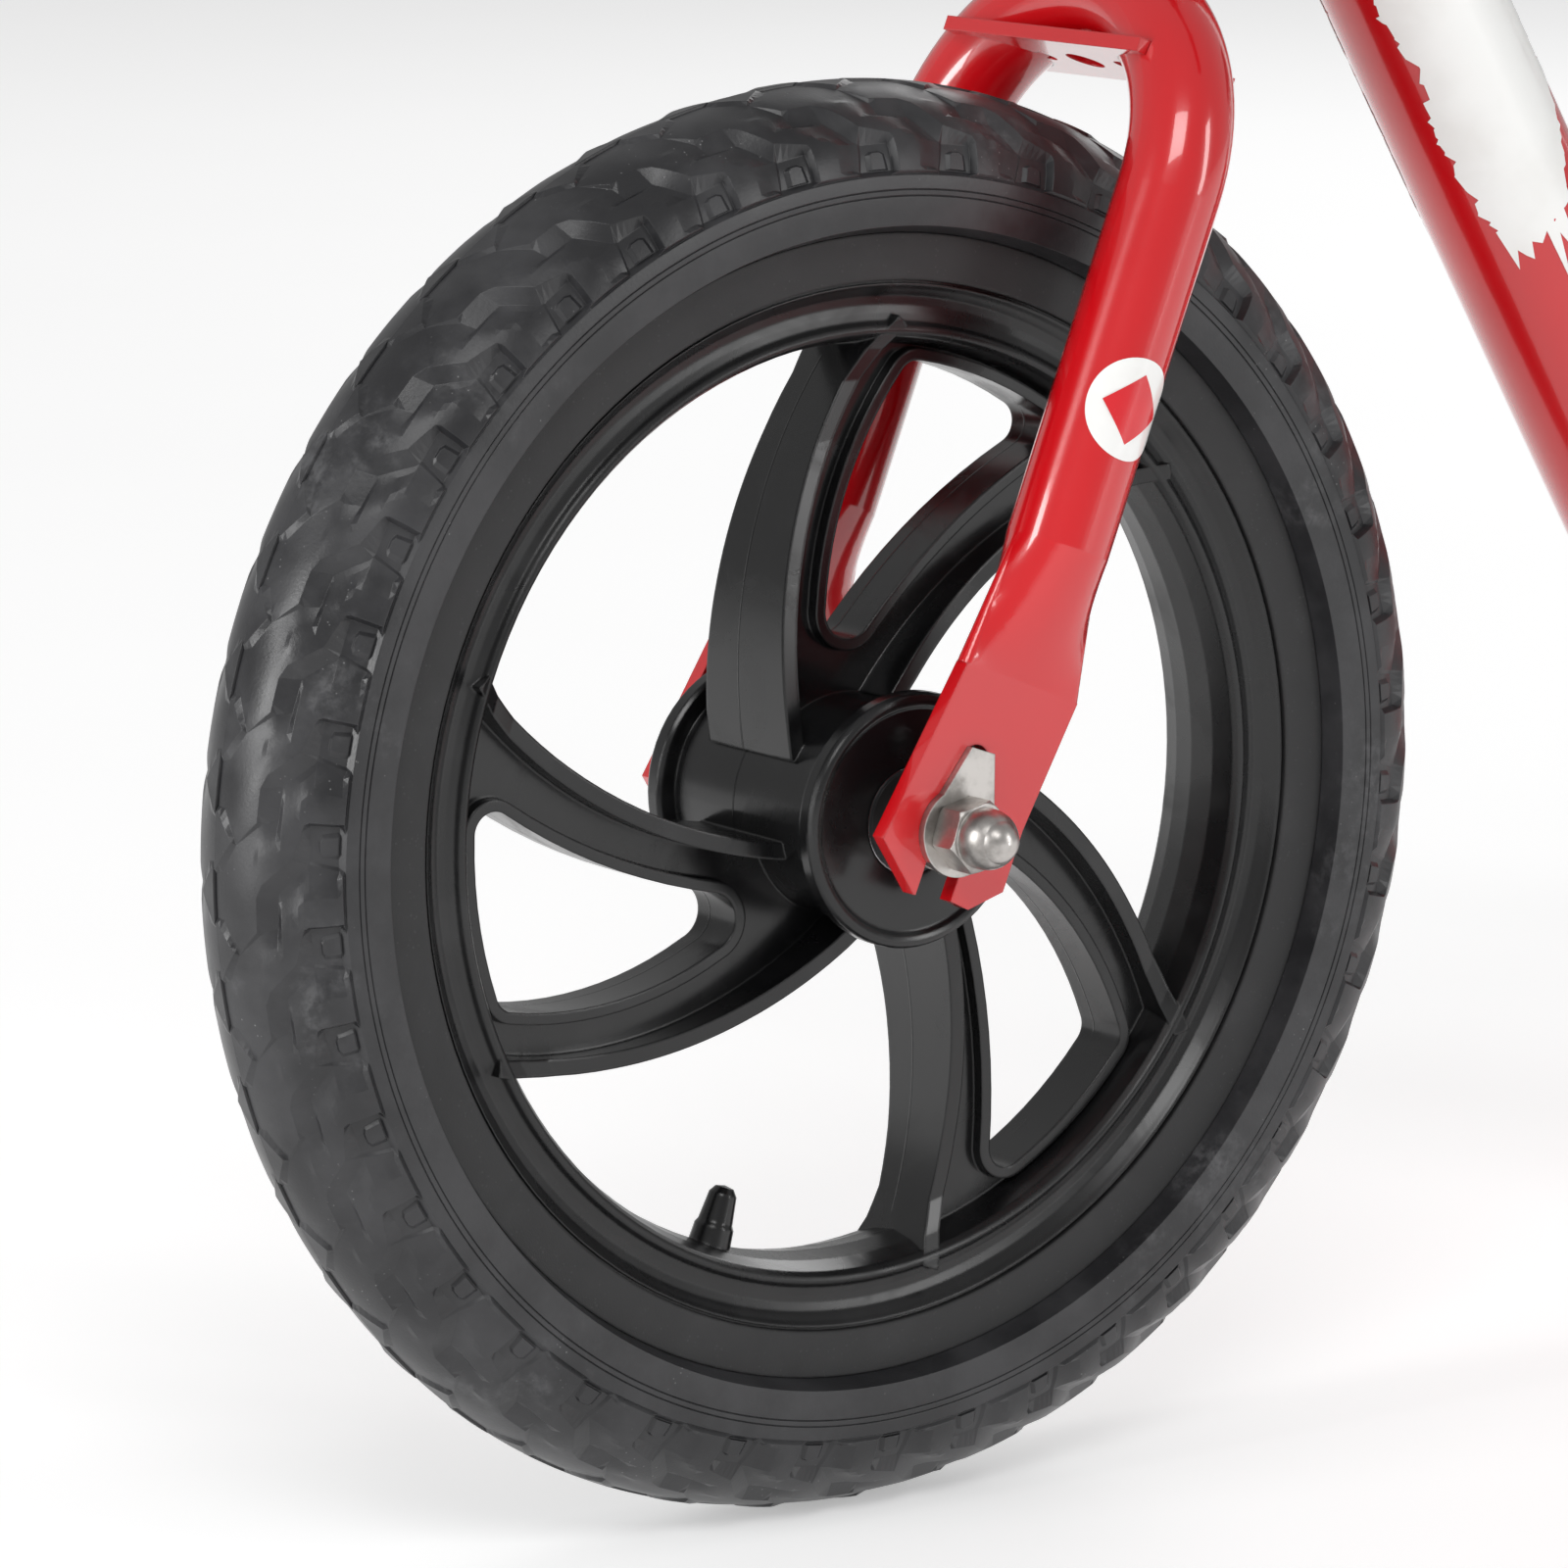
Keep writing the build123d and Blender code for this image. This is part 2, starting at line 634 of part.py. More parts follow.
def flattening(radius, width, thickness):
    """Stretch of a blade where the round tube is pressed flat."""
    blade = BLADE_HALF_SPACING
    flat = DROPOUT_HALF_SPACING + DROPOUT_THICKNESS / 2
    top = steering_plane(FLATTEN_TOP)
    bottom = steering_plane(FLATTEN_BOTTOM)
    with BuildPart(mode=Mode.PRIVATE) as transition:
        with BuildSketch(top):
            with Locations((0, blade)):
                Circle(radius)
        with BuildSketch(bottom):
            with Locations((0, flat)):
                SlotOverall(width, thickness)
        loft()
    return transition.part


def front_dropout():
    """Flattened end of the left blade, with its slot open at the bottom."""
    plane = side_plane(front_centre + Vector(0, DROPOUT_HALF_SPACING + DROPOUT_THICKNESS, 0))
    half = FLATTEN_WIDTH / 2 - DROPOUT_THICKNESS / 2
    top_front = steering_plane(FLATTEN_BOTTOM, half + 1.0).origin - front_centre
    top_rear = steering_plane(FLATTEN_BOTTOM, -half - 1.0).origin - front_centre
    with BuildPart(mode=Mode.PRIVATE) as dropout:
        with BuildSketch(plane):
            with BuildLine():
                Polyline(
                    (top_front.X, top_front.Z),
                    (17.6, 0.5),
                    (10.2, -11.6),
                    (4.0, -12.6),
                    (-3.2, -16.2),
                    (-11.8, -13.6),
                    (-16.6, -1.8),
                    (top_rear.X, top_rear.Z),
                    close=True,
                )
            make_face()
        extrude(amount=DROPOUT_THICKNESS)
        extrude(slot_face(plane, (0.39, -0.92), 30), amount=DROPOUT_THICKNESS, mode=Mode.SUBTRACT)
        with BuildSketch(plane):
            with Locations(FRONT_KEYHOLE):
                Circle(KEYHOLE_RADIUS)
        extrude(amount=DROPOUT_THICKNESS, mode=Mode.SUBTRACT)
    return dropout.part


with BuildPart() as fork_blades:
    tube_along(fork_path(), BLADE_RADIUS)
    tube_along(fork_path(), BLADE_RADIUS - BLADE_WALL, Mode.SUBTRACT)
    with BuildPart(mode=Mode.PRIVATE) as left_end:
        add(flattening(BLADE_RADIUS, FLATTEN_WIDTH, DROPOUT_THICKNESS))
        add(front_dropout())
    add(left_end.part)
    mirror(left_end.part, about=Plane.XZ)
finish(fork_blades, "fork_blades")

with BuildPart(mode=Mode.PRIVATE) as fork_tube_space:
    tube_along(fork_path(), BLADE_RADIUS + WELD_GAP)

crown_plate_height = ARCH_START + BLADE_HALF_SPACING - BLADE_RADIUS - CROWN_PLATE_THICKNESS - 1.0
with BuildPart() as fork_crown_plate:
    with BuildSketch(steering_plane(crown_plate_height)):
        Rectangle(CROWN_PLATE_WIDTH, 2 * BLADE_HALF_SPACING - 14)
        Circle(4.2, mode=Mode.SUBTRACT)
        with Locations((0, 13), (0, -13)):
            Circle(2.4, mode=Mode.SUBTRACT)
    extrude(amount=CROWN_PLATE_THICKNESS)
    add(fork_tube_space.part, mode=Mode.SUBTRACT)
    add(fork_crown_plate.solids().sort_by(SortBy.VOLUME)[-1], mode=Mode.INTERSECT)
finish(fork_crown_plate, "fork_crown_plate")

steerer_top = HEAD_TUBE_BOTTOM * 2 + HEAD_TUBE_LENGTH - CROWN_RACE_HEIGHT + 10.0
with BuildPart() as fork_steerer:
    steering_base = steering_plane(0)
    boss_bottom = ARCH_START + BLADE_HALF_SPACING
    turned(steering_base, [
        (0, boss_bottom),
        (STEERER_BOSS_RADIUS, boss_bottom),
        (STEERER_BOSS_RADIUS, CROWN_RACE_HEIGHT),
        (STEERER_RADIUS, CROWN_RACE_HEIGHT),
        (STEERER_RADIUS, steerer_top),
        (0, steerer_top),
    ])
    bar(steering_base, STEERER_BORE, CROWN_RACE_HEIGHT + 6, steerer_top, Mode.SUBTRACT)
    add(fork_tube_space.part, mode=Mode.SUBTRACT)
finish(fork_steerer, "fork_steerer")


# ---- headset

head_middle = HEAD_TUBE_BOTTOM + HEAD_TUBE_LENGTH / 2
ball_height = CROWN_RACE_HEIGHT + 4.6


def flipped(points):
    """The same section at the other end of the head tube."""
    return [(r, 2 * head_middle - h) for r, h in points]


def headset_groove(height):
    """Ring-shaped track that the headset's balls run in."""
    with BuildPart(mode=Mode.PRIVATE) as track:
        with BuildSketch(section_plane(steering_plane(0))):
            with Locations((HEADSET_PITCH_RADIUS, height)):
                Circle(HEADSET_BALL_RADIUS + RUNNING_GAP)
        revolve(axis=Axis(steering_root, steering_up))
    return track.part


cup_section = [
    (HEADSET_PITCH_RADIUS + 2.3, CROWN_RACE_HEIGHT + 2.4),
    (HEAD_TUBE_RADIUS + 2.6, CROWN_RACE_HEIGHT + 2.4),
    (HEAD_TUBE_RADIUS + 2.6, HEAD_TUBE_BOTTOM - 1.5),
    (HEAD_TUBE_RADIUS + 1.1, HEAD_TUBE_BOTTOM),
    (HEAD_TUBE_BORE - WELD_GAP, HEAD_TUBE_BOTTOM),
    (HEAD_TUBE_BORE - WELD_GAP, HEAD_TUBE_BOTTOM + 8),
    (STEERER_RADIUS + 0.8, HEAD_TUBE_BOTTOM + 8),
    (STEERER_RADIUS + 0.8, ball_height + 1.4),
    (HEADSET_PITCH_RADIUS + 2.3, ball_height + 1.4),
]
race_section = [
    (STEERER_RADIUS + WELD_GAP, CROWN_RACE_HEIGHT),
    (HEADSET_PITCH_RADIUS + 1.8, CROWN_RACE_HEIGHT),
    (HEADSET_PITCH_RADIUS + 1.8, CROWN_RACE_HEIGHT + 2.6),
    (HEADSET_PITCH_RADIUS - 1.6, ball_height - 0.4),
    (STEERER_RADIUS + WELD_GAP, ball_height - 0.4),
]
cone_top = CROWN_RACE_HEIGHT - 3.0
washer_top = cone_top - 2.0
locknut_top = washer_top - 7.0

with BuildPart() as head_tube:
    turned(steering_plane(HEAD_TUBE_BOTTOM), [
        (HEAD_TUBE_BORE, 0),
        (HEAD_TUBE_RADIUS, 0),
        (HEAD_TUBE_RADIUS, HEAD_TUBE_LENGTH),
        (HEAD_TUBE_BORE, HEAD_TUBE_LENGTH),
    ])
finish(head_tube, "head_tube")

with BuildPart() as crown_race:
    turned(steering_plane(0), race_section)
    add(headset_groove(ball_height), mode=Mode.SUBTRACT)
finish(crown_race, "crown_race")

with BuildPart() as lower_head_cup:
    turned(steering_plane(0), cup_section)
    add(headset_groove(ball_height), mode=Mode.SUBTRACT)
finish(lower_head_cup, "lower_head_cup")

with BuildPart() as upper_head_cup:
    turned(steering_plane(0), flipped(cup_section))
    add(headset_groove(2 * head_middle - ball_height), mode=Mode.SUBTRACT)
finish(upper_head_cup, "upper_head_cup")

with BuildPart() as lower_head_balls:
    with Locations(steering_plane(ball_height)):
        with PolarLocations(HEADSET_PITCH_RADIUS, HEADSET_BALL_COUNT):
            Sphere(HEADSET_BALL_RADIUS)
finish(lower_head_balls, "lower_head_balls")

with BuildPart() as upper_head_balls:
    with Locations(steering_plane(2 * head_middle - ball_height)):
        with PolarLocations(HEADSET_PITCH_RADIUS, HEADSET_BALL_COUNT):
            Sphere(HEADSET_BALL_RADIUS)
finish(upper_head_balls, "upper_head_balls")

with BuildPart() as upper_head_cone:
    upper_race = race_section[2:] + [
        (STEERER_RADIUS + WELD_GAP, cone_top),
        (HEADSET_PITCH_RADIUS + 2.6, cone_top),
        (HEADSET_PITCH_RADIUS + 2.6, CROWN_RACE_HEIGHT + 0.4),
        (HEADSET_PITCH_RADIUS + 1.8, CROWN_RACE_HEIGHT + 1.2),
    ]
    turned(steering_plane(0), flipped(upper_race))
    add(headset_groove(2 * head_middle - ball_height), mode=Mode.SUBTRACT)
finish(upper_head_cone, "upper_head_cone")

with BuildPart() as head_key_washer:
    turned(steering_plane(0), flipped([
        (STEERER_RADIUS + WELD_GAP, washer_top),
        (HEADSET_PITCH_RADIUS + 1.6, washer_top),
        (HEADSET_PITCH_RADIUS + 1.6, cone_top),
        (STEERER_RADIUS + WELD_GAP, cone_top),
    ]))
finish(head_key_washer, "head_key_washer")

with BuildPart() as head_locknut:
    with BuildSketch(steering_plane(2 * head_middle - washer_top)):
        RegularPolygon(LOCKNUT_ACROSS_FLATS / sqrt(3), 6)
        Circle(STEERER_RADIUS + WELD_GAP, mode=Mode.SUBTRACT)
    extrude(amount=washer_top - locknut_top)
    chamfer(head_locknut.edges().filter_by(GeomType.LINE).filter_by(
        lambda edge: abs(edge.tangent_at(0.5).dot(steering_up)) < 0.1), 0.8)
finish(head_locknut, "head_locknut")


# ---- stem

clamp_plane = steering_plane(STEM_CLAMP_HEIGHT, STEM_REACH)
clamp_centre = clamp_plane.origin
bar_plane = Plane(origin=clamp_centre, x_dir=steering_forward, z_dir=(0, 1, 0))
clamp_split = 3.0
stem_shoulder = STEM_CLAMP_HEIGHT - STEM_CLAMP_RADIUS + 2.0
stem_top = STEM_CLAMP_HEIGHT + STEM_CLAMP_RADIUS - 2.0
wedge_slope = radians(30)
bolt_head_depth = 9.0
faceplate_bolt_z = STEM_CLAMP_RADIUS + 1.0
faceplate_bolt_y = 12.0


def clamp_bolt_seats():
    """Planes of the four clamp bolts' head seats, facing forwards."""
    seats = []
    for height in (-faceplate_bolt_z, faceplate_bolt_z):
        for side in (-faceplate_bolt_y, faceplate_bolt_y):
            face = steering_plane(STEM_CLAMP_HEIGHT + height, STEM_REACH + FLANGE_DEPTH)
            origin = face.origin + Vector(0, side, 0)
            seats.append(Plane(origin=origin, x_dir=(0, 1, 0), z_dir=steering_forward))
    return seats


def clamp_body():
    """Barrel that holds the handlebar, joined to the column by a square neck."""
    half = STEM_CLAMP_HALF_WIDTH
    neck_half = 13.0
    with BuildPart(mode=Mode.PRIVATE) as body:
        bar(bar_plane, STEM_CLAMP_RADIUS, -half, half)
        with BuildSketch(steering_plane(STEM_CLAMP_HEIGHT - STEM_CLAMP_RADIUS + 5)):
            with Locations((STEM_REACH / 2, 0)):
                Rectangle(STEM_REACH, 2 * neck_half)
        extrude(amount=2 * STEM_CLAMP_RADIUS - 10)
        with BuildSketch(clamp_plane.offset(-faceplate_bolt_z - 4)):
            Rectangle(2 * FLANGE_DEPTH, 2 * half)
        extrude(amount=2 * faceplate_bolt_z + 8)
        bar(bar_plane, BAR_RADIUS + RUNNING_GAP, -half, half, Mode.SUBTRACT)
        for seat in clamp_bolt_seats():
            bar(seat, CLAMP_BOLT_RADIUS + WELD_GAP, -2 * FLANGE_DEPTH - 1, 1, Mode.SUBTRACT)
    return body.part


def half_space(forward_side):
    """Block on one side of the clamp's split."""
    start = clamp_split if forward_side else clamp_split - 1.2
    side = 1 if forward_side else -1
    reach = 4 * STEM_REACH
    plane = steering_plane(STEM_CLAMP_HEIGHT, STEM_REACH + start)
    with BuildPart(mode=Mode.PRIVATE) as block:
        with BuildSketch(Plane(origin=plane.origin, x_dir=(0, 1, 0), z_dir=steering_forward)):
            Rectangle(reach, reach)
        extrude(amount=side * reach)
    return block.part


with BuildPart() as stem:
    column = steering_plane(0)
    add(clamp_body())
    add(half_space(False), mode=Mode.INTERSECT)
    bar(column, QUILL_RADIUS, QUILL_BOTTOM, stem_top)
    turned(column, [
        (0, stem_shoulder - 8),
        (QUILL_RADIUS + 1.0, stem_shoulder - 8),
        (QUILL_RADIUS + 4.0, stem_shoulder),
        (QUILL_RADIUS + 4.0, stem_top - 2),
        (QUILL_RADIUS + 2.0, stem_top),
        (0, stem_top),
    ])
    bar(bar_plane, BAR_RADIUS + RUNNING_GAP, -40, 40, Mode.SUBTRACT)
    bar(column, STEM_BOLT_RADIUS + LOOSE_GAP, QUILL_BOTTOM - 5, stem_top + 5, Mode.SUBTRACT)
    bar(column, 7.0, stem_top - bolt_head_depth, stem_top + 5, Mode.SUBTRACT)
    cut_height = QUILL_BOTTOM + QUILL_RADIUS * tan(wedge_slope) + 1
    slope_up = steering_up * cos(wedge_slope) + steering_forward * sin(wedge_slope)
    slope_plane = Plane(origin=steering_plane(cut_height).origin, z_dir=slope_up)
    split(bisect_by=slope_plane, keep=Keep.TOP)
finish(stem, "stem")

with BuildPart() as stem_wedge:
    bar(column, QUILL_RADIUS - 0.1, cut_height - 26, cut_height + 20)
    split(bisect_by=slope_plane.offset(-WELD_GAP), keep=Keep.BOTTOM)
    bar(column, STEM_BOLT_RADIUS + RUNNING_GAP, cut_height - 30, cut_height + 20, Mode.SUBTRACT)
finish(stem_wedge, "stem_wedge")

with BuildPart() as stem_expander_bolt:
    bar(column, STEM_BOLT_RADIUS, cut_height - 22, stem_top - bolt_head_depth)
    bar(column, 6.5, stem_top - bolt_head_depth, stem_top - 1.0)
    with BuildSketch(steering_plane(stem_top - 1.0)):
        RegularPolygon(3.4, 6)
    extrude(amount=-5, mode=Mode.SUBTRACT)
finish(stem_expander_bolt, "stem_expander_bolt")

with BuildPart() as stem_faceplate:
    add(clamp_body())
    add(half_space(True), mode=Mode.INTERSECT)
finish(stem_faceplate, "stem_faceplate")


# ---- handlebar and grips

def bar_path():
    """Left half of the handlebar's mid line, from the clamp to the open end."""
    c = clamp_centre
    rise = steering_up * BAR_RISE
    with BuildLine() as path:
        FilletPolyline(
            c,
            c + Vector(0, BAR_LOWER_BEND, 0),
            c + Vector(0, BAR_UPPER_BEND, 0) + rise,
            c + Vector(-BAR_SWEEP, BAR_HALF_WIDTH, 0) + rise,
            radius=BAR_BEND_RADIUS,
        )
    return path.wires()[0]


bar_end = bar_path() @ 1
bar_out = (bar_path() % 1).normalized()
grip_plane = Plane(origin=bar_end, x_dir=steering_forward, z_dir=bar_out)


def half_bar(radius):
    """Left half of a round bar along the handlebar's mid line."""
    with BuildPart(mode=Mode.PRIVATE) as half:
        tube_along(bar_path(), radius)
    return half.part


with BuildPart() as handlebar:
    left_half = half_bar(BAR_RADIUS)
    add(left_half)
    mirror(left_half, about=Plane.XZ)
    left_core = half_bar(BAR_RADIUS - BAR_WALL)
    add(left_core, mode=Mode.SUBTRACT)
    mirror(left_core, about=Plane.XZ, mode=Mode.SUBTRACT)
finish(handlebar, "handlebar")


def grip_solid():
    """Left rubber grip: flange at the inner end, rounded safety end at the outer."""
    bore = BAR_RADIUS + BOND_GAP
    cap = 7.0
    with BuildPart(mode=Mode.PRIVATE) as grip:
        turned(grip_plane, [
            (bore, -GRIP_LENGTH),
            (GRIP_FLANGE_RADIUS - 1, -GRIP_LENGTH),
            (GRIP_FLANGE_RADIUS, -GRIP_LENGTH + 1),
            (GRIP_FLANGE_RADIUS, -GRIP_LENGTH + 3),
            (GRIP_FLANGE_RADIUS - 1, -GRIP_LENGTH + 4),
            (GRIP_RADIUS, -GRIP_LENGTH + 6),
            (GRIP_RADIUS - 0.5, -GRIP_LENGTH + 55),
            (GRIP_RADIUS, -10),
            (GRIP_RADIUS + 4, -4),
            (GRIP_RADIUS + 4.5, cap - 5),
            (GRIP_RADIUS + 2, cap - 1),
            (GRIP_RADIUS - 3, cap),
            (0, cap),
            (0, BOND_GAP),
            (bore, BOND_GAP),
        ])
    return grip.part


with BuildPart() as left_grip:
    add(grip_solid())
finish(left_grip, "left_grip")

with BuildPart() as right_grip:
    mirror(grip_solid(), about=Plane.XZ)
finish(right_grip, "right_grip")

with BuildPart() as stem_faceplate_bolts:
    for seat in clamp_bolt_seats():
        bar(seat, 3.8, 0, 4.0)
        bar(seat, CLAMP_BOLT_RADIUS, 1 - 2 * FLANGE_DEPTH, 0.5)
finish(stem_faceplate_bolts, "stem_faceplate_bolts")


# ---- frame

main_direction = Vector(-cos(radians(MAIN_TUBE_ANGLE)), 0, -sin(radians(MAIN_TUBE_ANGLE)))
main_top = steering_plane(MAIN_TUBE_JOINT).origin
main_run = (main_top.Z - MAIN_TUBE_LOW) / sin(radians(MAIN_TUBE_ANGLE))
main_corner = main_top + main_direction * main_run


def main_path():
    """Mid line of the main tube, from the head tube down and back under the rider."""
    with BuildLine() as path:
        FilletPolyline(
            main_top,
            main_corner,
            Vector(MAIN_TUBE_REAR, 0, MAIN_TUBE_LOW),
            radius=MAIN_TUBE_BEND,
        )
    return path.wires()[0]


def plain_bar(plane, radius, start, end):
    """Round bar as a part of its own, for cutting a neighbour to fit."""
    with BuildPart(mode=Mode.PRIVATE) as solid:
        bar(plane, radius, start, end)
    return solid.part


with BuildPart() as main_tube:
    tube_along(main_path(), MAIN_TUBE_RADIUS)
    tube_along(main_path(), MAIN_TUBE_RADIUS - MAIN_TUBE_WALL, Mode.SUBTRACT)
    head_space = plain_bar(
        steering_plane(HEAD_TUBE_BOTTOM - 20),
        HEAD_TUBE_RADIUS + WELD_GAP,
        0,
        HEAD_TUBE_LENGTH + 40,
    )
    add(head_space, mode=Mode.SUBTRACT)
    add(main_tube.solids().sort_by(SortBy.VOLUME)[-1], mode=Mode.INTERSECT)
finish(main_tube, "main_tube")

with BuildPart(mode=Mode.PRIVATE) as main_space:
    tube_along(main_path(), MAIN_TUBE_RADIUS + WELD_GAP)

with BuildPart() as seat_tube:
    turned(seat_plane(0), [
        (0, 5),
        (SEAT_TUBE_RADIUS, 5),
        (SEAT_TUBE_RADIUS, SEAT_TUBE_LENGTH),
        (0, SEAT_TUBE_LENGTH),
    ])
    bar(seat_plane(0), SEAT_POST_RADIUS + RUNNING_GAP, 5, SEAT_TUBE_LENGTH, Mode.SUBTRACT)
    add(main_space.part, mode=Mode.SUBTRACT)
    add(seat_tube.solids().sort_by(SortBy.VOLUME)[-1], mode=Mode.INTERSECT)
finish(seat_tube, "seat_tube")


def rear_plate():
    """Left rear dropout: a plate with a downward slot, welded between the stays."""
    plane = side_plane(rear_centre + Vector(0, DROPOUT_HALF_SPACING + DROPOUT_THICKNESS, 0))
    with BuildPart(mode=Mode.PRIVATE) as plate:
        with BuildSketch(plane):
            with BuildLine():
                Polyline(
                    (40, 5),
                    (40, -9),
                    (12, -15),
                    (-10, -15),
                    (-15, -6),
                    (-14, 8),
                    (-4, 19),
                    (24, 27),
                    (31, 17),
                    close=True,
                )
            make_face()
        extrude(amount=DROPOUT_THICKNESS)
        extrude(slot_face(plane, (-0.25, -0.97), 30), amount=DROPOUT_THICKNESS, mode=Mode.SUBTRACT)
        with BuildSketch(plane):
            with Locations(REAR_KEYHOLE):
                Circle(KEYHOLE_RADIUS)
        extrude(amount=DROPOUT_THICKNESS, mode=Mode.SUBTRACT)
    return plate.part


def stay_solid(points, radius, bend, space):
    """Left rear stay: a tube that is coped to what it meets in front and slotted behind."""
    with BuildLine() as path:
        FilletPolyline(*points, radius=bend)
    route = path.wires()[0]
    with BuildPart(mode=Mode.PRIVATE) as stay:
        tube_along(route, radius)
        tube_along(route, radius - STAY_WALL, Mode.SUBTRACT)
        with BuildSketch(side_plane(rear_centre + Vector(0, STAY_HALF_SPACING, 0))):
            with Locations((12, 6)):
                Rectangle(80, 60)
        extrude(amount=DROPOUT_THICKNESS / 2 + WELD_GAP, both=True, mode=Mode.SUBTRACT)
        for neighbour in space:
            add(neighbour, mode=Mode.SUBTRACT)
        add(stay.solids().sort_by(SortBy.VOLUME)[-1], mode=Mode.INTERSECT)
    return stay.part


seat_tube_space = plain_bar(seat_plane(0), SEAT_TUBE_RADIUS + WELD_GAP, -30, SEAT_TUBE_LENGTH)
stay_end = rear_centre + Vector(24, STAY_HALF_SPACING, -2)
stay_start = Vector(MAIN_TUBE_REAR + 10, 10, MAIN_TUBE_LOW)
stay_bend = Vector(-128, STAY_HALF_SPACING, MAIN_TUBE_LOW + 5)
upper_end = rear_centre + Vector(16, STAY_HALF_SPACING, 21)
upper_start = seat_plane(UPPER_STAY_JOINT).origin + Vector(0, 6, 0)
upper_bend = upper_start + Vector(-34, STAY_HALF_SPACING - 6, -14)


def lower_stay():
    """Left chain stay, from the back of the main tube to the dropout."""
    return stay_solid([stay_start, stay_bend, stay_end], STAY_RADIUS, 40, [main_space.part])


def upper_stay():
    """Left seat stay, from the side of the seat tube to the dropout."""
    points = [upper_start, upper_bend, upper_end]
    return stay_solid(points, UPPER_STAY_RADIUS, 30, [seat_tube_space])


with BuildPart() as left_chain_stay:
    add(lower_stay())
finish(left_chain_stay, "left_chain_stay")

with BuildPart() as right_chain_stay:
    mirror(lower_stay(), about=Plane.XZ)
finish(right_chain_stay, "right_chain_stay")

with BuildPart() as left_seat_stay:
    add(upper_stay())
finish(left_seat_stay, "left_seat_stay")

with BuildPart() as right_seat_stay:
    mirror(upper_stay(), about=Plane.XZ)
finish(right_seat_stay, "right_seat_stay")

finish(mirrored_pair(rear_plate), "rear_dropouts")


# ---- seat collar with its quick-release lever

collar_bottom = SEAT_TUBE_LENGTH - COLLAR_HEIGHT + 1.0
collar_middle = collar_bottom + COLLAR_HEIGHT / 2
skewer_radius = 2.5
ear_reach = COLLAR_RADIUS + 9.0
ear_half = 11.0
skewer_plane = Plane(
    origin=seat_plane(collar_middle).origin - seat_forward * (COLLAR_RADIUS + 3.5),
    x_dir=seat_forward,
    z_dir=(0, 1, 0),
)
lever_pivot_y = ear_half + 6.0

with BuildPart() as seat_collar:
    with BuildSketch(seat_plane(collar_bottom)):
        Circle(COLLAR_RADIUS)
        with Locations((-ear_reach / 2, 0)):
            Rectangle(ear_reach, 2 * ear_half)
        Circle(SEAT_TUBE_RADIUS + WELD_GAP, mode=Mode.SUBTRACT)
        with Locations((-ear_reach / 2 - 5, 0)):
            Rectangle(ear_reach, 2.4, mode=Mode.SUBTRACT)
    extrude(amount=COLLAR_HEIGHT)
    bar(skewer_plane, skewer_radius + WELD_GAP, -20, 20, Mode.SUBTRACT)
finish(seat_collar, "seat_collar")

with BuildPart() as seat_skewer_nut:
    bar(skewer_plane, 6.5, -ear_half - 6, -ear_half)
    bar(skewer_plane, skewer_radius + WELD_GAP, -20, 0, Mode.SUBTRACT)
finish(seat_skewer_nut, "seat_skewer_nut")

pivot_plane = Plane(
    origin=skewer_plane.origin + Vector(0, lever_pivot_y, 0),
    x_dir=seat_forward,
    z_dir=seat_up,
)
cam_radius = 5.4
eye_radius = 3.4
eye_half = 2.2
lever_half = 4.5
pin_radius = 1.5

with BuildPart() as seat_skewer:
    bar(skewer_plane, skewer_radius, -ear_half - 6, lever_pivot_y - 1.0)
    bar(pivot_plane, eye_radius, -eye_half, eye_half)
    bar(pivot_plane, pin_radius + RUNNING_GAP, -10, 10, Mode.SUBTRACT)
finish(seat_skewer, "seat_skewer")

with BuildPart() as seat_lever:
    with BuildSketch(pivot_plane.offset(-lever_half)):
        Circle(cam_radius)
        with BuildLine():
            Polyline(
                (0, -2),
                (12, 3.2),
                (56, 4.4),
                (60, 6.6),
                (56, 8.8),
                (10, 8.2),
                (0, cam_radius),
                close=True,
            )
        make_face()
    extrude(amount=2 * lever_half)
    bar(pivot_plane, cam_radius + 0.8, -eye_half - 0.4, eye_half + 0.4, Mode.SUBTRACT)
    bar(pivot_plane, pin_radius + RUNNING_GAP, -10, 10, Mode.SUBTRACT)
finish(seat_lever, "seat_lever")

with BuildPart() as seat_lever_pin:
    bar(pivot_plane, pin_radius, -lever_half, lever_half)
finish(seat_lever_pin, "seat_lever_pin")


# ---- seat post and saddle

head_plane = Plane(
    origin=seat_plane(POST_HEAD).origin,
    x_dir=(1, 0, 0),
    z_dir=(0, 1, 0),
)
pivot = head_plane.origin
plate_inner = POST_HEAD_HALF_WIDTH + LOOSE_GAP
plate_outer = plate_inner + CLAMP_PLATE_THICKNESS
pivot_bolt_radius = 4.0
shell_bottom = pivot.Z + SHELL_HEIGHT

with BuildPart() as seat_post:
    post_bottom = SEAT_TUBE_LENGTH - POST_INSERTION
    bar(seat_plane(0), SEAT_POST_RADIUS, post_bottom, POST_HEAD - 14)
    turned(seat_plane(0), [
        (0, POST_HEAD - 14.5),
        (SEAT_POST_RADIUS, POST_HEAD - 14.5),
        (POST_HEAD_RADIUS - 1, POST_HEAD - 6),
        (0, POST_HEAD - 6),
    ])
    bar(head_plane, POST_HEAD_RADIUS, -POST_HEAD_HALF_WIDTH, POST_HEAD_HALF_WIDTH)
    bar(seat_plane(0), SEAT_POST_RADIUS - POST_WALL, post_bottom - 1, POST_HEAD - 18, Mode.SUBTRACT)
    bar(head_plane, pivot_bolt_radius + RUNNING_GAP, -30, 30, Mode.SUBTRACT)
finish(seat_post, "seat_post")


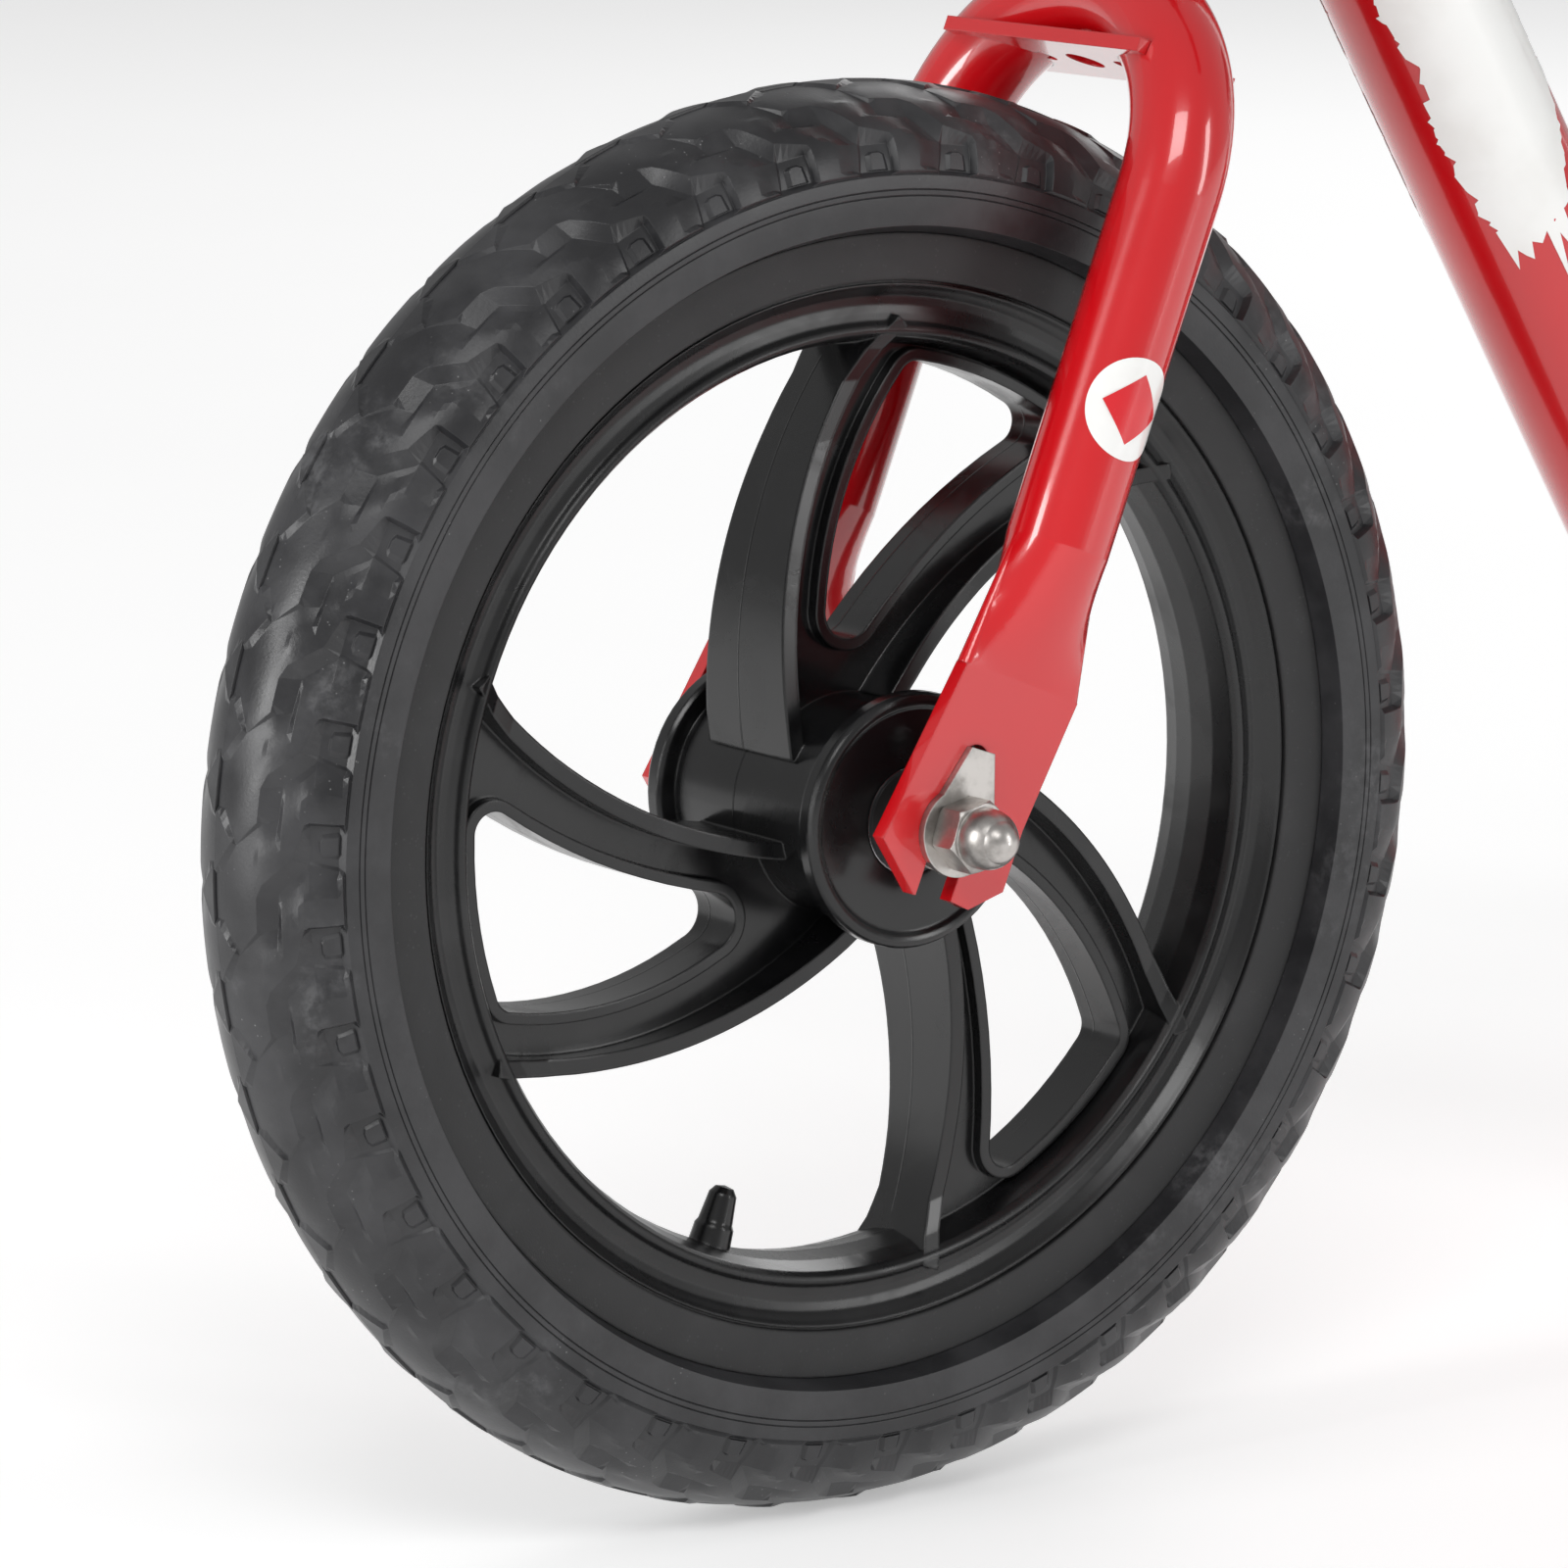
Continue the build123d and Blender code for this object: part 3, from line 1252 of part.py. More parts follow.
def clamp_plate():
    """Left saddle clamp plate, bored for the pivot bolt and for the saddle rail."""
    face = side_plane(pivot + Vector(0, plate_outer, 0))
    rail_barrel = Plane(
        origin=pivot + Vector(0, RAIL_HALF_SPACING, RAIL_HEIGHT),
        x_dir=(0, 1, 0),
        z_dir=(1, 0, 0),
    )
    with BuildPart(mode=Mode.PRIVATE) as plate:
        with BuildSketch(face):
            with BuildLine():
                Polyline((-15, 20), (-9, -5), (-4, -9), (4, -9), (9, -5), (15, 20), close=True)
            make_face()
        extrude(amount=CLAMP_PLATE_THICKNESS)
        bar(rail_barrel, RAIL_RADIUS + 3.2, -15, 15)
        bar(rail_barrel, RAIL_RADIUS + WELD_GAP, -20, 20, Mode.SUBTRACT)
        bar(head_plane, pivot_bolt_radius + WELD_GAP, -30, 30, Mode.SUBTRACT)
    return plate.part


finish(mirrored_pair(clamp_plate), "saddle_clamp")

with BuildPart() as saddle_bolt:
    bar(head_plane, pivot_bolt_radius, -plate_outer - 6, plate_outer)
    bar(head_plane, 6.5, plate_outer, plate_outer + 4)
    with BuildSketch(head_plane.offset(-plate_outer - 6.5)):
        RegularPolygon(NUT_ACROSS_FLATS / sqrt(3), 6)
        Circle(pivot_bolt_radius + WELD_GAP, mode=Mode.SUBTRACT)
    extrude(amount=6.5)
finish(saddle_bolt, "saddle_bolt_and_nut")


def rail_solid():
    """Left saddle rail: one bent rod, both ends turned up into the shell."""
    up = Vector(0, 0, RAIL_HEIGHT)
    into_shell = SHELL_HEIGHT + SHELL_THICKNESS / 2
    with BuildLine() as path:
        FilletPolyline(
            pivot + Vector(82, 9, into_shell),
            pivot + Vector(82, 9, RAIL_HEIGHT + 7),
            pivot + Vector(30, RAIL_HALF_SPACING, 0) + up,
            pivot + Vector(-34, RAIL_HALF_SPACING, 0) + up,
            pivot + Vector(-68, 34, RAIL_HEIGHT + 6),
            pivot + Vector(-68, 34, into_shell),
            radius=9,
        )
    with BuildPart(mode=Mode.PRIVATE) as rail:
        tube_along(path.wires()[0], RAIL_RADIUS)
    return rail.part


finish(mirrored_pair(rail_solid), "saddle_rails")


def saddle_face(height, margin):
    """Saddle's outline seen from above, drawn in by a margin."""
    level = Plane(origin=(pivot.X, 0, height))
    with BuildSketch(level) as face:
        with Locations((SADDLE_REAR_CENTRE, 0)):
            Circle(SADDLE_REAR_RADIUS - margin)
        with Locations((SADDLE_NOSE_CENTRE, 0)):
            Circle(SADDLE_NOSE_RADIUS - margin)
        make_hull()
    return face.sketch


with BuildPart(mode=Mode.PRIVATE) as rail_space:
    for side in (1, -1):
        for along, across in ((82, 9), (-68, 34)):
            socket = Plane(origin=(pivot.X + along, side * across, shell_bottom))
            bar(socket, RAIL_RADIUS + 0.6, -1, SHELL_THICKNESS / 2 + 0.2)

with BuildPart() as saddle_shell:
    extrude(saddle_face(shell_bottom, 4), amount=SHELL_THICKNESS)
    add(rail_space.part, mode=Mode.SUBTRACT)
finish(saddle_shell, "saddle_shell")

with BuildPart() as saddle_cover:
    extrude(saddle_face(shell_bottom + SHELL_THICKNESS, 0), amount=COVER_THICKNESS)
    fillet(saddle_cover.faces().sort_by(Axis.Z)[-1].edges(), 12)
finish(saddle_cover, "saddle_cover")
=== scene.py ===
# %% [markdown]
# # A balance bike
# This lesson dresses a finished CAD model of a child's balance bike. The CAD parts are loaded
# first and stay where they are. Each later cell adds one finish or one piece: paint, foam tread,
# grips, a padded saddle, decals and weld beads. Lengths are in metres, as Blender keeps them, and
# MM turns the workshop's millimetres into metres.

# %% Load the CAD frame
import json
from math import atan2, cos, pi, radians, sin, sqrt
from random import Random

import bmesh
import bpy
from mathutils import Matrix, Vector
from mathutils.bvhtree import BVHTree
from mathutils.geometry import delaunay_2d_cdt


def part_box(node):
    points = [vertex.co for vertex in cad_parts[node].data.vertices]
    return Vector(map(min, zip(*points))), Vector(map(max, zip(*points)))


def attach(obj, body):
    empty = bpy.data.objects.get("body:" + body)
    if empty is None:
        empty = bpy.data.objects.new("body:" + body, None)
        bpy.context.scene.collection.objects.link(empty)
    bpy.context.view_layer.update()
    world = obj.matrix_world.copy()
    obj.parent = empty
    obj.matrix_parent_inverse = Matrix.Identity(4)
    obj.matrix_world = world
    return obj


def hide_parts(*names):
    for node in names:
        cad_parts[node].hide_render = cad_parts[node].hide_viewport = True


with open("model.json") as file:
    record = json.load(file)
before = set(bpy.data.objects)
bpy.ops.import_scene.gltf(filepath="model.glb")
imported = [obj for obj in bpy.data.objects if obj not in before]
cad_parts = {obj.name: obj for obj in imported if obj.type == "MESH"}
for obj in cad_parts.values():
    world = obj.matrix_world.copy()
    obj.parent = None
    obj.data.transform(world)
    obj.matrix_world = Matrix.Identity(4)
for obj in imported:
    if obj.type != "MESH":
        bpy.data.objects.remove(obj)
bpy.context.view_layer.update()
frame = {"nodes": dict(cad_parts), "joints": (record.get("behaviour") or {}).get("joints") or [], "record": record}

MM = 0.001
record = frame["record"]
nodes = frame["nodes"]
joints = {joint["name"]: joint for joint in frame["joints"]}

# %% [markdown]
# ## Where things turn
# A bike is laid out by its axles and its steering axis, so these come from the joints of the CAD
# model. Much that is placed later is placed from them or from the box of a CAD part; the rest from coordinates
# given in the script.

# %% Axes of the bike
front_hub = Vector(joints["front_wheel_spin"]["pos_m"])
rear_hub = Vector(joints["rear_wheel_spin"]["pos_m"])
steering_foot = Vector(joints["steering"]["pos_m"])
steering_up = Vector(joints["steering"]["axis"]).normalized()
steering_ahead = Vector((steering_up.z, 0, -steering_up.x))
seat_up = Vector(joints["seat_height"]["axis"]).normalized()
left = Vector((0, 1, 0))
print("wheelbase", round(front_hub.x - rear_hub.x, 3), "m, axle height", round(front_hub.z, 3), "m")

# %% [markdown]
# ## Camera and studio
# The bike stands on a pale floor in a white studio. A long lens, low and from the front left,
# keeps the wheel's circles nearly true. Large area lights give soft, broad highlights on the
# enamel, and the world fills the shadows as a light tent would. A Light Path node lets the camera
# see the world as white, while its light on the bike stays weak enough for deep blacks.

# %% Camera
VIEW_AZIMUTH = radians(144.54)
VIEW_ELEVATION = radians(10.45)
VIEW_DISTANCE = 1.516
VIEW_ASIDE = -9.52 * MM
VIEW_LIFT = 3.11 * MM
back = Vector((
    sin(VIEW_AZIMUTH) * cos(VIEW_ELEVATION),
    -cos(VIEW_AZIMUTH) * cos(VIEW_ELEVATION),
    sin(VIEW_ELEVATION),
))
aside = (-back).cross(Vector((0, 0, 1))).normalized()
upright = aside.cross(-back)
camera_data = bpy.data.cameras.new("studio_camera")
camera_data.sensor_width = 36
camera_data.lens = 172.9
camera_data.clip_start = 0.05
camera_data.clip_end = 60
camera = bpy.data.objects.new("studio_camera", camera_data)
bpy.context.scene.collection.objects.link(camera)
camera.location = front_hub + back * VIEW_DISTANCE + aside * VIEW_ASIDE + upright * VIEW_LIFT
camera.rotation_mode = "QUATERNION"
camera.rotation_quaternion = (-back).to_track_quat("-Z", "Y")
bpy.context.scene.camera = camera
print("camera at", tuple(round(c, 3) for c in camera.location))


# %% Lights and world
def softbox(name, place, target, size, watts):
    """A large area light at a place, turned to face a target."""
    data = bpy.data.lights.new(name, "AREA")
    data.shape = "RECTANGLE"
    data.size, data.size_y = size
    data.energy = watts
    lamp = bpy.data.objects.new(name, data)
    lamp.location = place
    lamp.rotation_mode = "QUATERNION"
    lamp.rotation_quaternion = (Vector(target) - Vector(place)).to_track_quat("-Z", "Y")
    bpy.context.scene.collection.objects.link(lamp)
    return lamp


middle = (0, 0, 0.3)
softbox("key_softbox", (1.6, 1.9, 2.3), middle, (1.4, 1.0), 26)
softbox("side_softbox", (-1.4, 2.6, 1.0), (0.1, 0, 0.25), (0.5, 1.6), 16)
softbox("front_softbox", (2.8, -0.15, 0.8), middle, (0.6, 1.3), 30)
softbox("rear_softbox", (-2.4, -1.8, 1.8), middle, (1.4, 1.4), 16)

world = bpy.data.worlds.new("white_studio")
world.use_nodes = True
sky = world.node_tree.nodes["Background"]
sky.inputs["Color"].default_value = (1, 1, 1, 1)
rays = world.node_tree.nodes.new("ShaderNodeLightPath")
seen = world.node_tree.nodes.new("ShaderNodeMapRange")
world.node_tree.links.new(rays.outputs["Is Camera Ray"], seen.inputs["Value"])
seen.inputs["To Min"].default_value = 0.42
seen.inputs["To Max"].default_value = 1.0
world.node_tree.links.new(seen.outputs["Result"], sky.inputs["Strength"])
bpy.context.scene.world = world
bpy.context.scene.view_settings.view_transform = "Standard"

# %% [markdown]
# ## A shorthand for shaders
# A finish is a small tree of nodes. Writing it link by link hides the idea, so two classes help.
# Value wraps a number socket, and Python's own + - * ** and abs on it add Math nodes. Finish owns one
# material: its node method makes any other node from its type, its settings and its sockets.


# %% Value: numbers that add their own Math nodes
class Value:
    def __init__(self, finish, socket):
        self.finish = finish
        self.socket = socket

    def maths(self, operation, other=None, reflected=False):
        pair = [other, self] if reflected else [self, other]
        node = self.finish.node("Math", {"operation": operation})
        for index, item in enumerate(pair):
            if isinstance(item, Value):
                self.finish.link(item.socket, node.inputs[index])
            elif item is not None:
                node.inputs[index].default_value = item
        return Value(self.finish, node.outputs[0])

    def __add__(self, other):
        return self.maths("ADD", other)

    def __radd__(self, other):
        return self.maths("ADD", other, True)

    def __sub__(self, other):
        return self.maths("SUBTRACT", other)

    def __rsub__(self, other):
        return self.maths("SUBTRACT", other, True)

    def __mul__(self, other):
        return self.maths("MULTIPLY", other)

    def __rmul__(self, other):
        return self.maths("MULTIPLY", other, True)

    def __pow__(self, other):
        return self.maths("POWER", other)

    def __abs__(self):
        return self.maths("ABSOLUTE")

    def ramp(self, low, high, start=0.0, end=1.0):
        """start below low, end above high, and a smooth step between."""
        node = self.finish.node("MapRange", {"interpolation_type": "SMOOTHSTEP"}, {
            "Value": self, "From Min": low, "From Max": high, "To Min": start, "To Max": end,
        })
        return Value(self.finish, node.outputs["Result"])


# %% Finish: one material and its nodes
class Finish:
    def __init__(self, name):
        self.material = bpy.data.materials.new(name)
        self.material.use_nodes = True
        self.tree = self.material.node_tree
        self.tree.nodes.clear()
        self.output = self.node("OutputMaterial")
        self.shader = self.node("BsdfPrincipled")
        self.link(self.shader.outputs[0], self.output.inputs["Surface"])
        self.place = self.node("TexCoord").outputs["Object"]

    def link(self, source, target):
        self.tree.links.new(source, target)

    def node(self, kind, settings=None, sockets=None):
        """Any shader node: its settings first, then its sockets."""
        node = self.tree.nodes.new("ShaderNode" + kind)
        for key, value in (settings or {}).items():
            setattr(node, key, value)
        for key, value in (sockets or {}).items():
            self.feed(node, key, value)
        return node

    def feed(self, node, key, value):
        if isinstance(value, Value):
            self.link(value.socket, node.inputs[key])
        elif isinstance(value, bpy.types.NodeSocket):
            self.link(value, node.inputs[key])
        else:
            node.inputs[key].default_value = value

    def set(self, **sockets):
        """Sockets of the main shader; an underscore in a name stands for a space."""
        for key, value in sockets.items():
            self.feed(self.shader, key.replace("_", " "), value)

    def noise(self, scale, detail=3.0, roughness=0.55, vector=None, distortion=0.0):
        node = self.node("TexNoise", None, {
            "Vector": vector or self.place, "Scale": scale, "Detail": detail,
            "Roughness": roughness, "Distortion": distortion,
        })
        return Value(self, node.outputs["Fac"])

    def cells(self, scale, feature="F1", vector=None):
        node = self.node("TexVoronoi", {"feature": feature}, {
            "Vector": vector or self.place, "Scale": scale,
        })
        return Value(self, node.outputs["Distance"])

    def blend(self, factor, first, second):
        """A colour that goes from first to second as the factor goes from 0 to 1."""
        node = self.node("Mix", {"data_type": "RGBA"})
        self.feed(node, 0, factor)
        for index, colour in ((6, first), (7, second)):
            self.feed(node, index, colour)
        return node.outputs[2]

    def axes(self, vector=None):
        node = self.node("SeparateXYZ", None, {"Vector": vector or self.place})
        return [Value(self, socket) for socket in node.outputs]

    def relief(self, height, depth, rounding=0.0):
        """Bump of a depth in metres, over edges rounded by a radius in metres."""
        bump = self.node("Bump", None, {"Height": height, "Distance": depth, "Strength": 1.0})
        if rounding:
            edge = self.node("Bevel", {"samples": 6}, {"Radius": rounding})
            self.link(edge.outputs[0], bump.inputs["Normal"])
        self.set(Normal=bump.outputs[0])


def shade(red, green, blue):
    """A colour from its screen values, 0 to 255."""
    def linear(value):
        value = value / 255
        return value / 12.92 if value <= 0.04045 else ((value + 0.055) / 1.055) ** 2.4
    return (linear(red), linear(green), linear(blue), 1.0)


finishes = {}
print("shader shorthand ready")

# %% [markdown]
# ## Red enamel
# The frame and fork are steel tubes in thick gloss enamel. Enamel is a coloured layer under a
# clear one, so the main shader carries the red and its coat carries the sharp reflections. Real
# spray paint is never quite flat: a slight waviness bends the highlights, dust nibs sit in it,
# and it runs a little darker where it is thick. The Bevel node rounds the edges of plates.


# %% Red enamel
def enamel(name, colour, deep):
    """Gloss paint on steel: slight orange peel, dust nibs and uneven depth of colour."""
    finish = Finish(name)
    depth = finish.noise(9, 3).ramp(0.35, 0.7)
    finish.set(Base_Color=finish.blend(depth * 0.6, colour, deep))
    finish.set(Roughness=0.16 + 0.1 * finish.noise(160, 2))
    finish.set(Coat_Weight=1.0, Coat_Roughness=0.035, IOR=1.5)
    peel = finish.noise(420, 2)
    nibs = finish.cells(260).ramp(0.0, 0.09, 1.0, 0.0)
    finish.relief(peel * 0.5 + nibs * 0.35, 0.000012, 0.0007)
    finishes[name] = finish.material


enamel("red_paint", shade(206, 8, 20), shade(184, 4, 14))
print("enamel ready")

# %% [markdown]
# ## Moulded black nylon
# The wheel is one injection moulding. Its rim band was sparked in the mould, which leaves a fine
# matte grain, while the spokes and hub are polished and show flow marks and light scratches. A
# faint parting line runs along the ribs near the wheel's middle plane. Distance from the axle,
# read from Object coordinates that are centred on the hub, tells the two surfaces apart.


# %% Moulded nylon
def moulded(name, centre):
    """Black nylon of a wheel: matte sparked band, glossy spokes, and a parting line."""
    finish = Finish(name)
    centred = finish.node("Mapping", {"vector_type": "TEXTURE"}, {
        "Vector": finish.place, "Location": centre,
    }).outputs[0]
    x, y, z = finish.axes(centred)
    radius = (x * x + z * z) ** 0.5
    band = radius.ramp(0.1059, 0.1063) * abs(y).ramp(0.0126, 0.0136)
    rim = radius.ramp(0.090, 0.094)
    flow = finish.noise(38, 5, 0.6, distortion=1.2).ramp(0.45, 0.75)
    speck = finish.cells(900).ramp(0.0, 0.32, 1.0, 0.0) * finish.noise(300, 2).ramp(0.52, 0.62)
    dusty = finish.noise(60, 4).ramp(0.5, 0.8)
    base = finish.blend(band * (0.35 + 0.5 * speck), shade(17, 17, 18), shade(62, 62, 63))
    finish.set(Base_Color=finish.blend(dusty * 0.10, base, shade(90, 90, 92)))
    gloss = 0.20 + 0.16 * flow + 0.07 * rim
    finish.set(Roughness=gloss + band * (0.40 - 0.1 * flow))
    finish.set(IOR=1.52)
    grain = finish.noise(2600, 2) * band
    seam = (abs(y + 0.0024)).ramp(0.00008, 0.00028, 1.0, 0.0) * radius.ramp(0.088, 0.0905, 1.0, 0.0)
    scratch = finish.noise(95, 6, 0.7).ramp(0.62, 0.66) * (1 - band)
    finish.relief(grain * 0.9 + seam * 1.6 - scratch * 0.12, 0.00006, 0.0008)
    finishes[name] = finish.material


moulded("black_plastic_front", front_hub)
moulded("black_plastic_rear", rear_hub)
print("nylon ready, two hubs")

# %% [markdown]
# ## Foam rubber
# The tyres are solid foam with a moulded skin: darker and glossier than tyre rubber, with chalky
# scuffs. The relief itself is modelled later; the finish adds the fine skin, soft mottling and
# the pale dust that settles in patches.


# %% Foam
def foam(name):
    """Skin of moulded foam: mottled charcoal with chalky scuffs."""
    finish = Finish(name)
    mottle = finish.noise(45, 5, 0.6).ramp(0.35, 0.7)
    chalk = finish.noise(24, 6, 0.68).ramp(0.54, 0.74) * finish.noise(260, 4, 0.7).ramp(0.38, 0.66)
    fleck = finish.cells(620).ramp(0.0, 0.16, 1.0, 0.0) * finish.noise(70, 3).ramp(0.55, 0.68)
    base = finish.blend(mottle, shade(34, 34, 36), shade(54, 54, 56))
    dusted = finish.blend(chalk * 0.42, base, shade(120, 120, 122))
    finish.set(Base_Color=finish.blend(fleck * 0.7, dusted, shade(150, 150, 150)))
    finish.set(Roughness=0.30 + 0.14 * mottle + 0.25 * chalk)
    finish.set(IOR=1.5)
    skin = finish.noise(1500, 3) * 0.6 + finish.noise(340, 3) * 0.2
    finish.relief(skin, 0.00005, 0.00025)
    finishes[name] = finish.material


foam("tyre_foam")
print("foam ready")

# %% [markdown]
# ## Metals
# Zinc plating is dull and slightly blotchy, chrome is nearly a mirror with faint polishing haze,
# and the bare alloy shows a fine grain along its drawing direction. One function covers all
# three, because only colour, roughness and the stretch of the grain differ.


# %% Plated and bare metals
def metal(name, bright, dull, rough, blotch, grain=(1, 1, 1), depth=0.00001, rounding=0.0004):
    """Metal whose colour and roughness wander between two states."""
    finish = Finish(name)
    stretched = finish.node("Mapping", None, {"Vector": finish.place, "Scale": grain}).outputs[0]
    cloud = finish.noise(110, 4, 0.6).ramp(0.38, 0.68)
    lines = finish.noise(700, 3, 0.6, stretched)
    finish.set(Base_Color=finish.blend(cloud * blotch, bright, dull))
    finish.set(Metallic=1.0, Roughness=rough + 0.16 * cloud * blotch + 0.08 * lines)
    finish.relief(lines, depth, rounding)
    finishes[name] = finish.material


metal("zinc_steel", shade(196, 192, 188), shade(128, 124, 120), 0.27, 0.8, depth=0.00003)
metal("bearing_steel", shade(200, 200, 202), shade(160, 160, 162), 0.18, 0.4)
metal("chrome_steel", shade(226, 226, 228), shade(206, 206, 208), 0.06, 0.5, depth=0.000002)
metal("alloy", shade(205, 206, 208), shade(170, 171, 174), 0.30, 0.5, (1, 9, 1))
print("metals:", [name for name in finishes if "steel" in name or name == "alloy"])

# %% [markdown]
# ## Black coatings, rubber and leathercloth
# The stem, handlebar and saddle rails wear a satin black powder coat. Grips and seals are soft
# rubber. The saddle's cover is leathercloth: embossed with a pebble grain, which two sizes of
# Voronoi cells give, with painted shade that darkens the creases and a little more shine on the high grain.


# %% Powder coat and rubber
def powder_coat(name):
    finish = Finish(name)
    cloud = finish.noise(30, 3).ramp(0.4, 0.7)
    finish.set(Base_Color=finish.blend(cloud, shade(20, 20, 21), shade(30, 30, 31)))
    finish.set(Roughness=0.34 + 0.1 * finish.noise(220, 3), Coat_Weight=0.25, Coat_Roughness=0.25)
    finish.relief(finish.noise(1300, 2), 0.00003, 0.0006)
    finishes[name] = finish.material


def rubber(name, dark, light, rough, depth):
    finish = Finish(name)
    wear = finish.noise(55, 5, 0.65).ramp(0.45, 0.75)
    finish.set(Base_Color=finish.blend(wear, dark, light))
    finish.set(Roughness=rough + 0.15 * wear)
    finish.relief(finish.noise(1800, 3), depth, 0.0003)
    finishes[name] = finish.material


def leathercloth(name):
    finish = Finish(name)
    pebble = finish.cells(620)
    fine = finish.cells(1500)
    # high rises from the grain tops towards the creases between the cells; it makes the creases rougher and paints
    # shade into their colour.
    high = pebble.ramp(0.1, 0.55)
    # Painted shade: the creases are coloured darker than the grain tops.
    finish.set(Base_Color=finish.blend(high, shade(30, 30, 32), shade(15, 15, 16)))
    finish.set(Roughness=0.42 + 0.2 * high + 0.08 * finish.noise(20, 3))
    finish.set(Sheen_Weight=0.08, IOR=1.48)
    finish.relief(1 - pebble * 0.8 - fine * 0.3, 0.00022)
    finishes[name] = finish.material


powder_coat("black_paint")
rubber("grip_rubber", shade(26, 26, 28), shade(44, 44, 46), 0.55, 0.00008)
rubber("seal_rubber", shade(24, 24, 25), shade(38, 38, 40), 0.5, 0.00004)
rubber("saddle_base", shade(28, 28, 29), shade(40, 40, 41), 0.45, 0.00010)
leathercloth("saddle_skin")
print("finishes so far:", len(finishes))

# %% [markdown]
# ## Dress the CAD parts
# Each CAD part names the finish that it was given in the record. Its material slot takes the
# matching procedural material, and its mesh stays as it is.

# %% Assign finishes to CAD parts
slot_of = {part["node"]: part["material_slot"] for part in record["subparts"]}


def finish_for(node):
    slot = slot_of[node]
    if slot == "black_plastic":
        slot += "_front" if node.startswith("front") else "_rear"
    return finishes[slot]


for name, part in nodes.items():
    part.data.materials.clear()
    part.data.materials.append(finish_for(name))
print("dressed", len(nodes), "CAD parts")

# %% [markdown]
# ## Helpers for new pieces
# A new piece is a mesh whose points are already in the bike's frame, so its object stays at the
# origin. The helper below turns a bmesh into such an object, gives it its finish,
# smooths it except at sharp corners, and lets it ride on a body of the bike.


# %% Turn a bmesh into a piece
def piece(name, bm, finish, body, sharp=22):
    bmesh.ops.recalc_face_normals(bm, faces=bm.faces)
    mesh = bpy.data.meshes.new(name)
    bm.to_mesh(mesh)
    bm.free()
    for material in finish if isinstance(finish, list) else [finish]:
        mesh.materials.append(material)
    mesh.shade_smooth()
    mesh.set_sharp_from_angle(angle=radians(sharp))
    obj = bpy.data.objects.new(name, mesh)
    bpy.context.scene.collection.objects.link(obj)
    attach(obj, body)
    return obj


def smooth_step(t):
    t = min(max(t, 0.0), 1.0)
    return t * t * (3 - 2 * t)


def along(line, side):
    """The turn at which a line of (turn, side) points crosses a side angle."""
    for (turn_a, side_a), (turn_b, side_b) in zip(line, line[1:]):
        if side_a <= side <= side_b:
            return turn_a + (turn_b - turn_a) * (side - side_a) / (side_b - side_a)
    return line[0][0] if side < line[0][1] else line[-1][0]


print("helpers ready")

# %% [markdown]
# ## One pitch of tread
# The tread repeats 42 times round the tyre. One pitch is drawn flat: across it runs the section
# angle from the crown to the side wall, and along it the turn about the axle, both in degrees.
# Each point also has a height against the tyre's round section. The lobes are like roof tiles:
# each one rises softly from under its neighbour, runs level and drops at a bevelled edge. A raised
# diamond sits on the crown, and a pocket with a small pad is cut in each shoulder.
# Delaunay triangulation joins the points but keeps every drawn line as an edge.

# %% Lines of the tread
PITCHES = 42
PITCH = 360 / PITCHES
RING_STEPS = 8
DIAMOND, TOP, LOW, POCKET, SIDE, GROOVE = 0.0, -0.5, -1.9, -2.2, -1.2, -0.9
foot = [
    (4.8, 0.5, TOP), (4.5, 7.3, TOP), (2.3, 16.5, TOP - 0.2), (0.45, 32.3, -1.2),
    (0.1, 41.5, LOW), (-2.65, 42.3, LOW), (-4.75, 58.6, LOW), (-5.1, 60.0, LOW),
    (-4.5, 78.0, -1.6), (-4.5, 80.5, SIDE),
]
diamond_back = [(-0.4, 0.5, TOP), (-0.33, 7.3, TOP), (2.3, 16.5, TOP - 0.2)]
diamond_top = [(0, 0.5), (0, 1.8), (2.1, 14.5), (4.4, 1.8), (4.4, 0.5)]
lobe_edge = [
    (2.3, 16.5, TOP - 0.2), (0.35, 29.8, TOP), (-3.0, 30.4, TOP), (-5.56, 50.6, TOP),
    (-8.39, 56.4, TOP), (-8.6, 59.2, TOP), (-8.55, 78.6, TOP), (-12.6, 78.6, TOP),
]
pocket_floor = [(-8.3, 60.3), (-8.25, 78.0), (-4.8, 78.0), (-5.4, 60.8), (-8.3, 60.3)]
pad_foot = [
    (-7.8, 77.4), (-7.62, 67.2), (-7.1, 65.4), (-6.1, 65.6), (-5.6, 67.4), (-5.5, 77.4), (-7.8, 77.4),
]
pad_top = [
    (-7.4, 76.9), (-7.3, 67.6), (-6.95, 66.3), (-6.3, 66.4), (-6.0, 67.8), (-5.9, 76.9), (-7.4, 76.9),
]
print("one pitch is", round(PITCH, 3), "degrees")


# %% Points and lines drawn flat
class Drawing:
    """Points (turn, side, height) of a relief, and the lines that join them."""

    def __init__(self):
        self.points = []
        self.lines = []
        self.index = {}

    def point(self, turn, side, height):
        key = (round(turn, 4), round(side, 4))
        if key not in self.index:
            self.index[key] = len(self.points)
            self.points.append((turn, side, height))
        return self.index[key]

    def line(self, corners, step=1.5):
        for start, end in zip(corners, corners[1:]):
            length = sqrt(((end[0] - start[0]) * 2.44) ** 2 + ((end[1] - start[1]) * 0.36) ** 2)
            count = max(1, round(length / step))
            steps = []
            for k in range(count + 1):
                steps.append(self.point(*(a + (b - a) * k / count for a, b in zip(start, end))))
            self.lines += zip(steps, steps[1:])

    def triangles(self):
        flat = [Vector((turn * 2.44, side * 0.36)) for turn, side, height in self.points]
        made = delaunay_2d_cdt(flat, self.lines, [], 1, 1e-4)
        source = [found[0] for found in made[3]]
        return [[source[corner] for corner in face] for face in made[2]]


def shifted(line, turn=-PITCH):
    return [(point[0] + turn, *point[1:]) for point in line]


